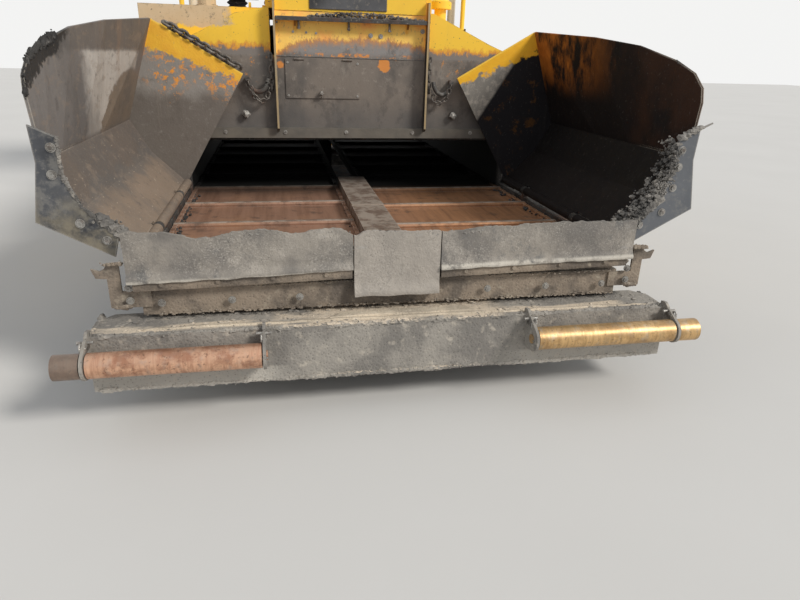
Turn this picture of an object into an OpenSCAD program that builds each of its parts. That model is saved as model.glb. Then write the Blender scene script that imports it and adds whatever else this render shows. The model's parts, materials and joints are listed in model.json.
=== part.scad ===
// Tracked asphalt paver with a folding hopper, a push beam and a towed extending screed.
// Millimetres. X is across the machine, -Y is the way it drives, Z is up from the ground.
// Lengths along the machine are counted rearward from the front face of the push beam.

/* [Push beam] */
// Length of the push beam across the machine
beam_w = 2500; // [2400:10:2600]
// Depth of the push beam from front to back
beam_d = 230; // [180:5:250]
// Height of the beam's underside above the ground
beam_bottom = 170; // [140:5:200]
// Height of the beam's top above the ground
beam_top = 410; // [380:5:420]
// Radius of the push rollers
roller_r = 50; // [35:1:55]
// Height of the push rollers' axis
roller_z = 330; // [290:5:345]
// Distance of the rollers' axis ahead of the beam
roller_ahead = 80; // [75:1:100]
// Inner end of the long rollers from the middle
roller_in = 583; // [500:1:700]
// Outer end of the long rollers from the middle
roller_out = 1232; // [1100:1:1233]
// Length of the short outboard rollers
short_roller_l = 98; // [60:1:120]
// Radius of the rollers' axle
axle_r = 20; // [12:1:28]
// Thickness of the roller brackets
bracket_t = 12; // [8:1:16]
// Distance of the beam's pivot behind its front face
pivot_y = 300; // [290:5:320]
// Radius of the pivot pin
pivot_r = 30; // [20:1:40]

/* [Hopper] */
// Half width of the hopper floor between the frame's side plates
floor_half = 1036; // [980:1:1060]
// Height of the conveyor deck's top
deck_z = 600; // [580:5:620]
// Distance between neighbouring conveyor slats
slat_pitch = 460; // [300:10:600]
// Height of a slat above the deck
slat_h = 26; // [16:1:34]
// Half width of the cover over the middle chains
cover_half = 90; // [70:1:110]
// Height of the middle cover's top
cover_top = 670; // [650:5:700]
// Thickness of the wing plates
wing_t = 12; // [8:1:16]
// Front edge of the wings
wing_front = 200; // [195:5:240]
// Rear edge of the wings
wing_rear = 1707; // [1600:1:1707]
// Distance of the wing hinges from the middle
hinge_x = 1050; // [1040:1:1060]
// Height of the wing hinges
hinge_z = 680; // [670:1:700]
// Radius of the wing hinge pins
hinge_pin_r = 12; // [8:1:14]
// Thickness of the rubber apron
apron_t = 14; // [8:1:18]
// Half width of the rubber apron
apron_half = 1100; // [1000:5:1110]
// Height of the apron's top edge
apron_top = 790; // [740:5:820]

/* [Tractor] */
// Front face of the wall behind the hopper
wall_y = 1790; // [1785:1:1850]
// Height of the wall's lower edge above the conveyor
wall_bottom = 945; // [900:5:960]
// Distance of the two upright fins from the middle
fin_x = 472; // [420:1:500]
// Front edge of the fins
fin_front = 1716; // [1713:1:1740]
// Thickness of the frame's side plates
side_t = 25; // [16:1:40]
// Height of the operator platform
platform_z = 1665; // [1600:5:1700]
// Overhang of the platform behind the tracks
platform_over = 440; // [300:10:450]
// Height of the canopy roof's top
roof_top = 3620; // [3400:10:3700]
// Width of the machine over its side boxes
body_w = 2520; // [2480:10:2560]

/* [Tracks] */
// Inner face of the track shoes from the middle
track_in = 1085; // [1080:1:1090]
// Width of the track shoes
shoe_w = 290; // [260:5:295]
// Number of shoes on a track
shoe_count = 44; // [36:1:52]
// Front end of the tracks
track_front = 1420; // [1400:5:1460]
// Rear end of the tracks
track_end = 4500; // [4350:5:4520]
// Height of the tracks
track_h = 680; // [640:5:690]
// Height of a shoe's pad above its plate
pad_h = 30; // [15:1:40]

/* [Augers] */
// Distance of the auger shaft behind the tracks
auger_behind = 230; // [210:5:250]
// Height of the auger shaft
auger_z = 430; // [400:5:480]
// Radius of the auger flights
auger_r = 180; // [140:5:190]
// Pitch of the auger flights
auger_pitch = 300; // [240:10:360]

/* [Screed] */
// Width of the fixed screed
screed_w = 2950; // [2900:10:3000]
// Distance of the screed's front face behind the auger shaft
screed_behind = 290; // [280:5:330]
// Depth of the fixed screed
screed_d = 380; // [340:5:380]
// Depth of the screed's walkway
walkway_d = 676; // [500:2:700]
// Distance of the tow points behind the beam's front face
tow_y = 1265; // [1250:5:1280]
// Height of the tow points
tow_z = 560; // [520:5:600]
// Distance of the tow arms' inner face from the middle
tow_x = 1390; // [1385:1:1400]

/* [Hidden] */
$fn = 48;

// Running clearance of a pin in its bore
run = 0.05;
// Usual gap between pieces that move past each other
gap = 5;
// Gap of a piece that rests on another but can leave it
seat_gap = 0.3;

yellow = [0.93, 0.66, 0.10];
dark = [0.25, 0.24, 0.23];
worn = [0.38, 0.35, 0.32];
rust = [0.42, 0.28, 0.20];
bronze = [0.70, 0.52, 0.33];
rubber = [0.36, 0.36, 0.36];
chrome = [0.80, 0.80, 0.82];

// Places along the machine that follow the tracks
platform_rear = track_end + platform_over;
auger_y = track_end + auger_behind;
screed_front = auger_y + screed_behind;
walkway_front = screed_front + screed_d + 300;
walkway_rear = walkway_front + walkway_d;

// Middle of the machine's length, behind the beam's front face
bracket_r = roller_r + 6;
machine_front = -roller_ahead - bracket_r;
middle_y = (machine_front + walkway_rear) / 2;

// Frame
side_out = floor_half + side_t;
frame_bottom = 300;
frame_front = 400;
frame_rear = track_end;
nose_front = 210;
frame_top = 640;
tunnel_top = wall_bottom - 15;

// Hopper
deck_t = 12;
deck_front = 176;
deck_rear = frame_rear - gap;
first_slat = 427;
bar_front = 160;
bar_bottom = 430;
bar_top = 550;
// Wing cross-section up to its knee, inner face: across, up
wing_low = [[hinge_x, hinge_z], [1240, 870], [1345, 1060]];
knee = wing_low[2];
// Upper corner of the wing's rear plate
wing_peak = [1160, 1615];
wing_plate_t = 12;
wing_sheet_rear = wing_rear - wing_plate_t;
// Lines up which the wing's upper wall leans in at the rear and is bent out at the front
wall_top_front = [1388, 1640];
wall_top_rear = knee + (wing_peak - knee) * (1640 - knee[1]) / (wing_peak[1] - knee[1]);
// Upper edge of the wing's wall: along, up
wing_edge = [[wing_front, 1300], [wing_front + 20, 1360], [wing_front + 90, 1420], [wing_front + 220, 1470],
    [700, 1535], [1080, 1578], [wing_sheet_rear, 1616]];
// Lugs that carry the wing hinges: start of each along the machine
lug_starts = [[600], [1300]];
lug_l = 40;
knuckle_r = 25;

// Track
track_r = track_h / 2;
shoe_r = track_r - pad_h;
link_t = 42;
track_c1 = track_front + track_r;
track_c2 = track_end - track_r;
wheel_r = shoe_r - link_t - seat_gap;
beam_in = track_in + 80;
beam_out = track_in + shoe_w - 80;

// Side boxes
body_half = body_w / 2;
box_front = wall_y + 12;
box_rear = 3500;
box_bottom = 1000;
box_wall = 20;
box_inner = 500;
tank_rear = 2660;
engine_front = 2250;
exhaust_y = box_rear - 200;
box_top = 1706;
// Right box cross-section: across, up
right_section = [[box_inner, box_bottom], [body_half, box_bottom], [body_half, 1400], [906, 1534],
    [box_inner + 24, box_top], [box_inner, box_top]];
left_section = [[box_inner, box_bottom], [body_half, box_bottom], [body_half, box_top],
    [box_inner, box_top]];
shoulder_l = 98;
door_t = 36;

// Tow and lift
arm_t = 30;
tow_pin_r = 30;
lift_x = 700;
lift_top = [track_end + 200, 1450];
lift_foot = [screed_front + 60, 560];
lift_pin_r = 20;
wing_cyl_y = 900;
wing_cyl_foot = [1150, 330];
wing_cyl_eye = [1262, 762];
wing_cyl_pin_r = 15;
// Room round the rods' pins, whose linkages are opened there
open_gap = 13;

// Extensions
tube_r = 50;
tube_y = screed_front + screed_d + 60;
tube_z = 370;
ext_front = tube_y + 100;
ext_d = 300;
ext_h = 300;
screed_half = screed_w / 2;
// Outer end of the extensions when they are in
ext_out = screed_half + gap;
gate_t = 40;

module from_beam() translate([0, -middle_y, 0]) children();
module left() mirror([1, 0, 0]) children();
module both() {
    children();
    mirror([1, 0, 0]) children();
}
// Box from its low corner to its high corner
module block(low, high) translate(low) cube(high - low);
// Round bar along X, Y or Z from its first end
module bar_x(r, l) rotate([0, 90, 0]) cylinder(r = r, h = l);
module bar_y(r, l) rotate([-90, 0, 0]) cylinder(r = r, h = l);
// Extrude an outline given as across and up along the machine, from one place to another
module along(y1, y2) translate([0, y2, 0]) rotate([90, 0, 0]) linear_extrude(y2 - y1) children();
// Extrude an outline given as along and up across the machine
module across(x1, x2) translate([x1, 0, 0]) rotate([90, 0, 90]) linear_extrude(x2 - x1) children();

// Unit normal to the right of the way from a to b
function normal(a, b) = let (d = (b - a) / norm(b - a)) [d[1], -d[0]];
// Point i of the line moved sideways by t, mitred at the bends
function shifted(p, i, t) =
    let (n1 = normal(p[max(i - 1, 0)], p[max(i, 1)]),
         n2 = normal(p[min(i, len(p) - 2)], p[min(i + 1, len(p) - 1)]),
         m = (n1 + n2) / norm(n1 + n2))
    p[i] + m * t / (m * n1);
// Outline of a bent plate of thickness t on the right of a line
function ribbon(p, t) = concat(p, [for (i = [len(p) - 1:-1:0]) shifted(p, i, t)]);

// Point on the track at way s from the front of the ground run, h outside the shoe plates
track_run = track_c2 - track_c1;
arc_l = PI * shoe_r;
track_l = 2 * track_run + 2 * arc_l;
function track_point(s, h) =
    let (r = shoe_r + h)
    s < track_run ? [track_c1 + s, track_r - r] :
    s < track_run + arc_l ?
        let (a = (s - track_run) / arc_l * 180) [track_c2 + r * sin(a), track_r - r * cos(a)] :
    s < 2 * track_run + arc_l ? [track_c2 - (s - track_run - arc_l), track_r + r] :
        let (a = (s - 2 * track_run - arc_l) / arc_l * 180)
        [track_c1 - r * sin(a), track_r + r * cos(a)];

// Frame under the hopper and the tractor, with the pivot of the push beam
module main_frame() from_beam() color(dark) {
    both() {
        across(floor_half, side_out) polygon([[nose_front, bar_bottom], [nose_front, frame_top],
            [wall_y, frame_top], [wall_y, box_bottom], [frame_rear, box_bottom],
            [frame_rear, frame_bottom], [frame_front, frame_bottom], [frame_front, bar_bottom]]);
        // Lugs and pin of the wing hinge
        for (s = lug_starts) along(s[0], s[0] + lug_l) {
            translate([hinge_x, hinge_z]) circle(r = knuckle_r - 1);
            polygon([[floor_half, frame_top - 1], [side_out, frame_top - 1],
                [hinge_x + 18, hinge_z], [hinge_x - 14, hinge_z]]);
        }
        translate([hinge_x, 262, hinge_z]) bar_y(hinge_pin_r, wing_rear - 27 - 262);
        // Bracket of the tow point in front of the track
        block([side_out - 1, tow_y - 45, 460], [tow_x - 10, tow_y + 45, 620]);
        translate([tow_x - 11, tow_y, tow_z]) bar_x(tow_pin_r, arm_t + 26);
        // Ears of the wing cylinder's foot
        for (y = [wing_cyl_y - 50, wing_cyl_y + 30]) difference() {
            across_ear(y);
            translate([wing_cyl_foot[0], y - 1, wing_cyl_foot[1]]) bar_y(wing_cyl_pin_r + run, 22);
        }
        // Carriers of the track frame
        for (y = [track_c1 + 340, track_c2 - 560]) block([side_out - 1, y, 380], [beam_in, y + 160, 450]);
    }
    difference() {
        block([-floor_half - 1, frame_front, frame_bottom], [floor_half + 1, frame_front + 25, 560]);
        block([-900, frame_front - 1, 450], [900, frame_front + 26, 540]);
    }
    block([-floor_half - 1, frame_front + 24, frame_bottom], [floor_half + 1, frame_rear, frame_bottom + 12]);
    block([-floor_half - 1, wall_y + 12, tunnel_top], [floor_half + 1, frame_rear, wall_bottom]);
    for (y = [2300, 3200]) block([-420, y, wall_bottom - 1], [420, y + 100, box_bottom]);
    // Fork and pin of the push beam
    for (z = [195, 335]) difference() {
        translate([0, 0, z]) linear_extrude(50) union() {
            translate([0, pivot_y]) circle(r = pivot_r + 30);
            polygon([[-58, pivot_y], [58, pivot_y], [100, frame_front + 1], [-100, frame_front + 1]]);
        }
    }
    translate([0, pivot_y, 190]) cylinder(r = pivot_r, h = 200);
}
module across_ear(y) along(y, y + 20) {
    translate(wing_cyl_foot) circle(r = 34);
    polygon([[side_out - 1, 296], [side_out - 1, 364], [wing_cyl_foot[0], wing_cyl_foot[1] + 34],
        [wing_cyl_foot[0], wing_cyl_foot[1] - 34]]);
}

// Bar across the front of the hopper that holds the apron, with a hooked bracket at each end
module crossmember() from_beam() color(worn) {
    block([-side_out, bar_front, bar_bottom], [side_out, nose_front, bar_top]);
    block([-floor_half, bar_front, bar_top - 1], [floor_half, deck_front, 700]);
    block([-floor_half, bar_front - 24, 622], [floor_half, bar_front + 1, 690]);
    both() along(bar_front - 10, bar_front + 1) polygon([[1020, 470], [1180, 470], [1180, 596], [1222, 600],
        [1236, 640], [1204, 628], [1184, 640], [1176, 662], [1130, 662], [1130, 540], [1020, 540]]);
    // Rolled upper edge of the bar
    block([-side_out + 40, bar_front - 6, bar_top - 14], [side_out - 40, bar_front + 1, bar_top]);
}

// Rubber flap at the hopper's front, in three pieces: left end, right end, lower edge
apron_parts = [[-apron_half, -190, 600], [-189, 189, 490], [190, apron_half, 600]];
apron_back = bar_front - 24;
module apron() from_beam() color(rubber)
    for (p = apron_parts)
        block([p[0], apron_back - apron_t, p[2]], [p[1], apron_back, apron_top]);

// Two slat beds side by side, each with its chains at both ends of the slats
module conveyor() from_beam() color(rust) {
    both() {
        block([cover_half - 30, deck_front, deck_z - deck_t], [floor_half, deck_rear, deck_z]);
        for (x = chain_starts) across(x, x + chain_w) chain_side();
    }
    slat_bed(-1, 0);
    slat_bed(1, -110);
}
chain_w = 22;
chain_h = 18;
chain_starts = [cover_half + 4, floor_half - 6 - chain_w];
chain_pitch = 92;
// Side view of a chain lying on the deck, waisted at each link
module chain_side() {
    first = deck_front + 30;
    links = floor((deck_rear - 60 - first) / chain_pitch);
    polygon(concat([[first, deck_z - 1]],
        [for (i = [0:links - 1], c = [[0, 0.45], [0.12, 1], [0.88, 1], [1, 0.45]])
            [first + (i + c[0]) * chain_pitch, deck_z + c[1] * chain_h]],
        [[first + links * chain_pitch, deck_z - 1]]));
}
// Slats with rounded backs
slat_w = 40;
module slat_bed(side, offset_y)
    for (y = [first_slat + offset_y:slat_pitch:deck_rear - 60])
        scale([side, 1, 1]) across(chain_starts[0] + 2, chain_starts[1] + chain_w - 2) translate([y, deck_z])
            polygon([[0, -1], [0, 0.5 * slat_h], [4, 0.8 * slat_h], [11, slat_h], [slat_w - 11, slat_h],
                [slat_w - 4, 0.8 * slat_h], [slat_w, 0.5 * slat_h], [slat_w, -1]]);

// Folded cover over the two inner chains, with a joint strip and a worn nose
cover_t = 8;
module chain_cover() from_beam() color(rust) {
    difference() {
        across(-cover_half, cover_half) polygon([[230, deck_z], [230, cover_top - 22], [262, cover_top], [1900, cover_top],
            [1900, deck_z]]);
        block([-cover_half + cover_t, 229, deck_z - 1], [cover_half - cover_t, 1901, cover_top - 30]);
    }
    block([-cover_half, 1040, cover_top - 1], [cover_half, 1100, cover_top + 4]);
}

// Wall between the hopper and the engine, with its two fins, lip, ledge and access cover
module rear_wall() from_beam() color(worn) {
    along(wall_y, wall_y + 12) polygon([[-floor_half, wall_bottom], [floor_half, wall_bottom],
        [floor_half, 1440], [fin_x + 6, 1440], [fin_x + 6, 1690], [-fin_x - 6, 1690], [-fin_x - 6, 1440],
        [-floor_half, 1440]]);
    both() translate([chain_x, wall_y - 27, chain_top + 12]) bar_y(5.5, 28);
    block([-floor_half, wall_y - 20, wall_bottom], [floor_half, wall_y + 1, wall_bottom + 12]);
    block([-floor_half, wall_y - 20, wall_bottom], [floor_half, wall_y - 10, wall_bottom + 60]);
    block([-floor_half, wall_y - 12, wall_bottom + 48], [floor_half, wall_y + 1, wall_bottom + 60]);
    both() {
        across(fin_x - 6, fin_x + 6) polygon([[fin_front, 1010], [fin_front + 22, 990], [wall_y + 1, 990],
            [wall_y + 1, 1760], [fin_front, 1760]]);
        // Boss of the wing lock
        translate([670, wall_y - 30, 1090]) bar_y(22, 31);
        // Gusset of the ledge
        across(fin_x - 130, fin_x - 118) polygon([[wall_y + 1, 1580], [wall_y + 1, 1641], [fin_front + 14, 1641]]);
    }
    block([-fin_x, fin_front + 10, 1640], [fin_x, wall_y + 1, 1652]);
    // Access cover with its hinge and knob
    block([-415, wall_y - 8, 1190], [50, wall_y + 1, 1420]);
    for (x = [-360, -60]) translate([x, wall_y - 10, 1420]) bar_x(7, 60);
    translate([-196, wall_y - 34, 1222]) bar_y(10, 35);
}

// Yellow panel between the fins
module cowl() from_beam() color(yellow) {
    across(-fin_x + 8, fin_x - 8) polygon([[wall_y + 12, 1300], [wall_y + 12, 1690], [wall_y - 4, 1692],
        [wall_y - 4, 1900], [wall_y + 36, 1950], [wall_y + 66, 1950], [wall_y + 66, 1300]]);
    // Fixed knuckles of the hood's hinges
    for (x = hinge_starts) {
        translate([x + 82, hood_hinge[0], hood_hinge[1]]) bar_x(hood_pin_r, 30);
        block([x + 82, wall_y + 46, 1949], [x + 112, hood_hinge[0], hood_hinge[1] - 3]);
    }
}

// Fuel tank and cooler compartment on the left
module side_box_left() from_beam() left() color(yellow) {
    along(box_front, box_front + shoulder_l + 1) polygon([[box_inner, box_bottom], [body_half, box_bottom],
        [body_half, 1400], [910, 1560], [700, 1668], [box_inner + 24, box_top], [box_inner, box_top]]);
    side_shell(left_section, box_front + shoulder_l, box_top);
    // Filler neck with its cap
    translate([880, 2100, box_top - 1]) cylinder(r = 66, h = 16);
    translate([880, 2100, box_top + 14]) cylinder(r = 56, h = 34, $fn = 12);
    // Lifting eye
    lifting_eye(620, 2480, box_top);
}
module side_box_right() from_beam() color(yellow) {
    side_shell(right_section, box_front, 1400);
    // Socket of the exhaust
    block([565, exhaust_y - 55, 1600], [675, exhaust_y + 55, 1720]);
    // Air intake with its cap
    translate([700, 2350, 1600]) cylinder(r = 42, h = 170);
    translate([700, 2350, 1769]) cylinder(r = 78, h = 46);
    translate([700, 2350, 1814]) cylinder(r1 = 78, r2 = 40, h = 24);
}
module lifting_eye(x, y, z) across(x, x + 16) difference() {
    union() {
        translate([y, z + 34]) circle(r = 30);
        translate([y - 30, z - 1]) square([60, 36]);
    }
    translate([y, z + 34]) circle(r = 15);
}
// Box with a solid tank in front and an open compartment behind it
module side_shell(section, front, door_top) {
    difference() {
        along(front, box_rear) polygon(section);
        block([box_inner - 1, tank_rear, box_bottom + box_wall], [body_half - 2 * box_wall, box_rear - box_wall, door_top - 60]);
        block([body_half - 60, tank_rear + 30, box_bottom + 30], [body_half + 1, box_rear - 40, door_top - 80]);
        // Sunk panels of the tank's side
        for (y = [front + 70, (front + tank_rear) / 2 + 15])
            block([body_half - 4, y, box_bottom + 70], [body_half + 1, y + (tank_rear - front) / 2 - 100, 1400 - 60]);
    }
    // Cooler core in the open compartment
    for (i = [0:11]) block([620 + 40 * i, tank_rear - 1, box_bottom + 60], [632 + 40 * i, tank_rear + 120, door_top - 120]);
    block([610, tank_rear + 119, box_bottom + 60], [1082, tank_rear + 150, door_top - 120]);
    block([610, tank_rear + 100, box_bottom + box_wall - 1], [1082, tank_rear + 150, box_bottom + 61]);
}

// Engine with its sump, head, fan and pulleys
module engine_block() from_beam() color(dark) {
    block([-350, engine_front + 160, box_bottom], [350, box_rear - 150, 1290]);
    along(engine_front + 220, box_rear - 190) polygon([[-300, 1289], [-250, 1480], [-170, 1560], [170, 1560],
        [250, 1480], [300, 1289]]);
    for (i = [0:5]) block([-150, engine_front + 260 + i * 125, 1559], [150, engine_front + 350 + i * 125, 1640]);
    for (i = [0:5]) translate([0, engine_front + 305 + i * 125, 1400]) rotate([0, 90, 0]) cylinder(r = 34, h = 320);
    translate([0, engine_front + 85, 1290]) bar_y(70, 155);
    translate([0, engine_front + 60, 1290]) bar_y(120, 30);
    difference() {
        translate([0, engine_front, 1290]) bar_y(250, 60);
        for (i = [0:5]) rotate_at([0, 1290], i * 60) translate([90, engine_front - 1, 1290 - 34])
            block([0, 0, 0], [140, 62, 44]);
    }
    translate([190, engine_front + 110, 1450]) bar_y(60, 115);
}
module rotate_at(place, a) translate([place[0], 0, place[1]]) rotate([0, a, 0]) translate([-place[0], 0, -place[1]]) children();

// Silencer in a pierced sleeve, with a tail pipe cut at a slant
module exhaust() from_beam() color(dark) translate([620, exhaust_y, 1720]) {
    cylinder(r = 54, h = 12);
    difference() {
        union() {
            cylinder(r = 50, h = 420);
            cylinder(r = 80, h = 360);
            for (z = [40, 300]) translate([0, 0, z]) cylinder(r = 84, h = 22);
            cylinder(r = 50, h = 620);
        }
        translate([0, 0, 400]) cylinder(r = 44, h = 230);
        translate([-60, 0, 560]) rotate([25, 0, 0]) translate([0, -100, 0]) cube([120, 300, 160]);
        for (i = [0:9], z = [80, 140, 200, 260]) rotate([0, 0, i * 36]) translate([74, -11, z]) cube([12, 22, 26]);
    }
}

// Deck over the drive, its cabinet, the brackets of the screed's lift cylinders and the steps
deck_start = box_rear + 12;
step_y = track_end + 60;
module platform() from_beam() color(dark) {
    block([-body_half + 20, deck_start, platform_z - 25], [body_half - 20, platform_rear, platform_z]);
    both() block([body_half - 26, deck_start, platform_z - 60], [body_half - 20, platform_rear, platform_z + 28]);
    block([-body_half + 20, platform_rear - 6, platform_z - 60], [-1000 + 20, platform_rear, platform_z]);
    block([1000 - 20, platform_rear - 6, platform_z - 60], [body_half - 20, platform_rear, platform_z]);
    block([-1000, deck_start, wall_bottom], [1000, track_end - 100, platform_z - 24]);
    // Ribs under the overhang
    both() for (x = [420, 1150]) across(x, x + 10) polygon([[track_end - 101, platform_z - 24], [track_end - 101, platform_z - 120],
        [platform_rear - 60, platform_z - 50], [platform_rear - 6, platform_z - 24]]);
    // Brackets of the screed's lift cylinders
    both() for (x = [lift_x - 62, lift_x + 42]) difference() {
        across(x, x + 20) {
            translate(lift_top) circle(r = 40);
            polygon([[track_end - 101, 1380], [track_end - 101, platform_z - 24], [lift_top[0] + 36, platform_z - 24],
                [lift_top[0] + 36, lift_top[1]], [lift_top[0] - 10, lift_top[1] - 38]]);
        }
        translate([x - 1, lift_top[0], lift_top[1]]) bar_x(lift_pin_r + run, 22);
    }
    // Steps at the rear corners, with upturned edges
    both() {
        for (z = [660, 910, 1160, 1410]) {
            block([1010, step_y, z], [1300, step_y + 200, z + 6]);
            for (y = [step_y, step_y + 64, step_y + 130, step_y + 194]) block([1010, y, z], [1300, y + 6, z + 25]);
        }
        for (x = [1000, 1300]) block([x, step_y, 660], [x + 12, step_y + 40, platform_z - 24]);
        for (x = [1000, 1300]) block([x, step_y + 160, 660], [x + 12, step_y + 200, 1435]);
    }
}

rail_x = body_half - 50;
rail_rear = platform_rear - 40;
module guard_rails() from_beam() color(yellow) both() {
    for (y = [deck_start + 28, (deck_start + rail_rear) / 2, rail_rear]) {
        translate([rail_x, y, platform_z]) cylinder(r = 20, h = 1000);
        translate([rail_x - 22, y - 26, platform_z]) cube([44, 52, 12]);
    }
    for (z = [520, 1000]) translate([rail_x, deck_start + 28, platform_z + z]) bar_y(20, rail_rear - deck_start - 28);
    for (y = [deck_start + 28, rail_rear]) translate([rail_x, y, platform_z + 1000]) sphere(r = 20, $fn = 24);
}

// Posts and crowned roof over the platform, with work lamps under its edges
canopy_posts = [[1130, box_rear + 140], [1130, platform_rear - 80]];
roof_front = box_rear - 200;
roof_rear = platform_rear + 200;
eave = roof_top - 60;
module canopy() from_beam() color(yellow) {
    both() for (p = canopy_posts) translate([p[0], p[1], platform_z]) {
        cylinder(r = 35, h = eave + 1 - platform_z);
        translate([-60, -50, 0]) cube([90, 100, 12]);
    }
    difference() {
        along(roof_front, roof_rear) polygon([[-body_half, eave], [body_half, eave], [body_half, roof_top - 34],
            [body_half - 60, roof_top - 8], [body_half - 160, roof_top], [160 - body_half, roof_top],
            [60 - body_half, roof_top - 8], [-body_half, roof_top - 34]]);
        block([-body_half + 30, roof_front + 30, eave - 1], [body_half - 30, roof_rear - 30, roof_top - 30]);
    }
    both() for (p = canopy_posts) translate([p[0], p[1], eave - 1]) cylinder(r = 34, h = 40);
    // Cross ribs under the roof
    for (p = canopy_posts) block([31 - body_half, p[1] - 25, eave], [body_half - 31, p[1] + 25, roof_top - 29]);
    // Work lamps
    for (x = [-980, -420, 420, 980]) lamp(x, roof_front + 70, -1);
    for (x = [-900, 900]) lamp(x, roof_rear - 70, 1);
}
// Round lamp on a short stem under the roof's edge, facing forward or rearward
module lamp(x, y, way) translate([x, y, eave - 62]) {
    block([-8, -14, 40], [8, 14, 93]);
    rotate([way * -90, 0, 0]) translate([0, 0, -30]) {
        cylinder(r1 = 34, r2 = 52, h = 30);
        translate([0, 0, 29]) cylinder(r = 56, h = 26);
    }
}

// Carrier beams with their sprockets, idlers and rollers between the track runs
teeth = 18;
tooth_h = 34;
roller_top = track_r - shoe_r + link_t + 2 * 84 + seat_gap;
beam_end = wheel_r + 14;
module track_frames() from_beam() color(dark) both() {
    across(beam_in, beam_out) polygon([[track_c1 + beam_end, roller_top + 20], [track_c1 + beam_end + 40, roller_top - 2],
        [track_c2 - beam_end - 40, roller_top - 2], [track_c2 - beam_end, roller_top + 20], [track_c2 - beam_end, 430],
        [track_c2 - beam_end - 80, 470], [track_c1 + beam_end + 80, 470], [track_c1 + beam_end, 430]]);
    // Forks of the sprocket and the idler
    for (end = [[track_c1, 1], [track_c2, -1]]) {
        for (x = [track_in + 38, track_in + shoe_w - 54]) across(x, x + 16) {
            translate([end[0], track_r]) circle(r = 70);
            polygon([[end[0], track_r - 60], [end[0], track_r + 60], [end[0] + end[1] * (beam_end + 12), 430],
                [end[0] + end[1] * (beam_end + 12), roller_top + 24]]);
        }
        block([track_in + 38, end[0] + min(end[1] * beam_end, end[1] * (beam_end + 12)), roller_top + 24],
            [track_in + shoe_w - 38, end[0] + max(end[1] * beam_end, end[1] * (beam_end + 12)), 430]);
        translate([track_in + 30, end[0], track_r]) bar_x(34, shoe_w - 60);
        translate([track_in + shoe_w - 39, end[0], track_r]) bar_x(52, 12);
    }
    sprocket();
    idler();
    for (y = [track_c1 + 340:290:track_c2 - 330]) {
        translate([track_in + 62, y, roller_top - 84]) bar_x(66, shoe_w - 124);
        for (x = [track_in + 62, track_in + shoe_w - 92]) translate([x, y, roller_top - 84]) bar_x(84, 30);
    }
    for (y = [(2 * track_c1 + track_c2) / 3, (track_c1 + 2 * track_c2) / 3]) {
        translate([track_in + 90, y, track_r + wheel_r - 40]) bar_x(40, shoe_w - 180);
        block([track_in + 130, y - 30, 469], [track_in + shoe_w - 130, y + 30, track_r + wheel_r - 40]);
    }
}
// Toothed drive wheel with lightening holes
module sprocket() across(track_in + 90, track_in + shoe_w - 90) translate([track_c2, track_r]) difference() {
    polygon([for (i = [0:teeth - 1], c = [[-0.34, 1], [-0.14, 0], [0.14, 0], [0.34, 1]])
        let (a = 360 * (i + c[0]) / teeth, r = wheel_r - c[1] * tooth_h) [r * cos(a), r * sin(a)]]);
    for (i = [0:5]) rotate(i * 60) translate([0.58 * wheel_r, 0]) circle(r = 34);
}
// Idler wheel with a sunk web
module idler() translate([0, track_c1, track_r]) difference() {
    translate([track_in + 66, 0, 0]) bar_x(wheel_r, shoe_w - 132);
    for (x = [track_in + 60, track_in + shoe_w - 100]) difference() {
        translate([x, 0, 0]) bar_x(wheel_r - 36, 40);
        translate([x - 1, 0, 0]) bar_x(84, 42);
    }
}

module track() from_beam() color(dark) across(track_in, track_in + shoe_w) difference() {
    polygon([for (i = [0:shoe_count - 1], e = [[-0.44, 0], [-0.40, 1], [0.40, 1], [0.44, 0]])
        track_point((i + 0.5 + e[0]) * track_l / shoe_count, e[1] * pad_h)]);
    for (y = [track_c1, track_c2]) translate([y, track_r]) circle(r = shoe_r - link_t);
    translate([track_c1, track_r - shoe_r + link_t]) square([track_run, 2 * (shoe_r - link_t)]);
}
module track_right() track();
module track_left() left() track();

// Chain case and outer hangers of the augers
auger_case = 90;
auger_end = 1250;
module auger_box() from_beam() color(dark) difference() {
    union() {
        block([-auger_case, frame_rear, 300], [auger_case, frame_rear + 40, wall_bottom]);
        block([-auger_case, frame_rear + 39, 330], [auger_case, auger_y + 80, 620]);
        both() {
            block([auger_end + 12, track_end + 12, auger_z - 60], [auger_end + 32, auger_y + 60, auger_z + 60]);
            block([floor_half, frame_rear, auger_z - 60], [side_out, track_end + 50, auger_z + 60]);
            block([floor_half, track_end + 12, auger_z - 60], [auger_end + 13, track_end + 50, auger_z + 60]);
        }
    }
    translate([-auger_end - 50, auger_y, auger_z]) bar_x(30 + run, 2 * auger_end + 100);
}
auger_l = auger_end - auger_case - 12;
module auger() from_beam() color(worn) translate([auger_case + 6, auger_y, auger_z]) {
    rotate([0, 90, 0]) cylinder(r = 46, h = auger_l + 6, $fn = 12);
    translate([-60, 0, 0]) bar_x(30, auger_l + 12 + 90);
    translate([20, 0, 0]) flight(auger_l - 40);
}
// Helical blade along X: four corners a ring, the two at the shaft lie inside it
flight_steps = 60;
flight_t = 14;
module flight(l) {
    corners = [[40, 0], [auger_r, 0], [auger_r, flight_t], [40, flight_t]];
    points = [for (i = [0:flight_steps], c = corners) let (a = 360 * l / auger_pitch * i / flight_steps)
        [l * i / flight_steps + c[1], c[0] * cos(a), c[0] * sin(a)]];
    sides = [for (i = [0:flight_steps - 1], j = [0:3]) let (a = 4 * i + j, b = 4 * i + (j + 1) % 4)
        each [[a, b, b + 4], [a, b + 4, a + 4]]];
    polyhedron(points, concat([[3, 2, 1, 0]], sides, [[for (j = [0:3]) 4 * flight_steps + j]]));
}
module auger_right() auger();
module auger_left() left() auger();

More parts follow.
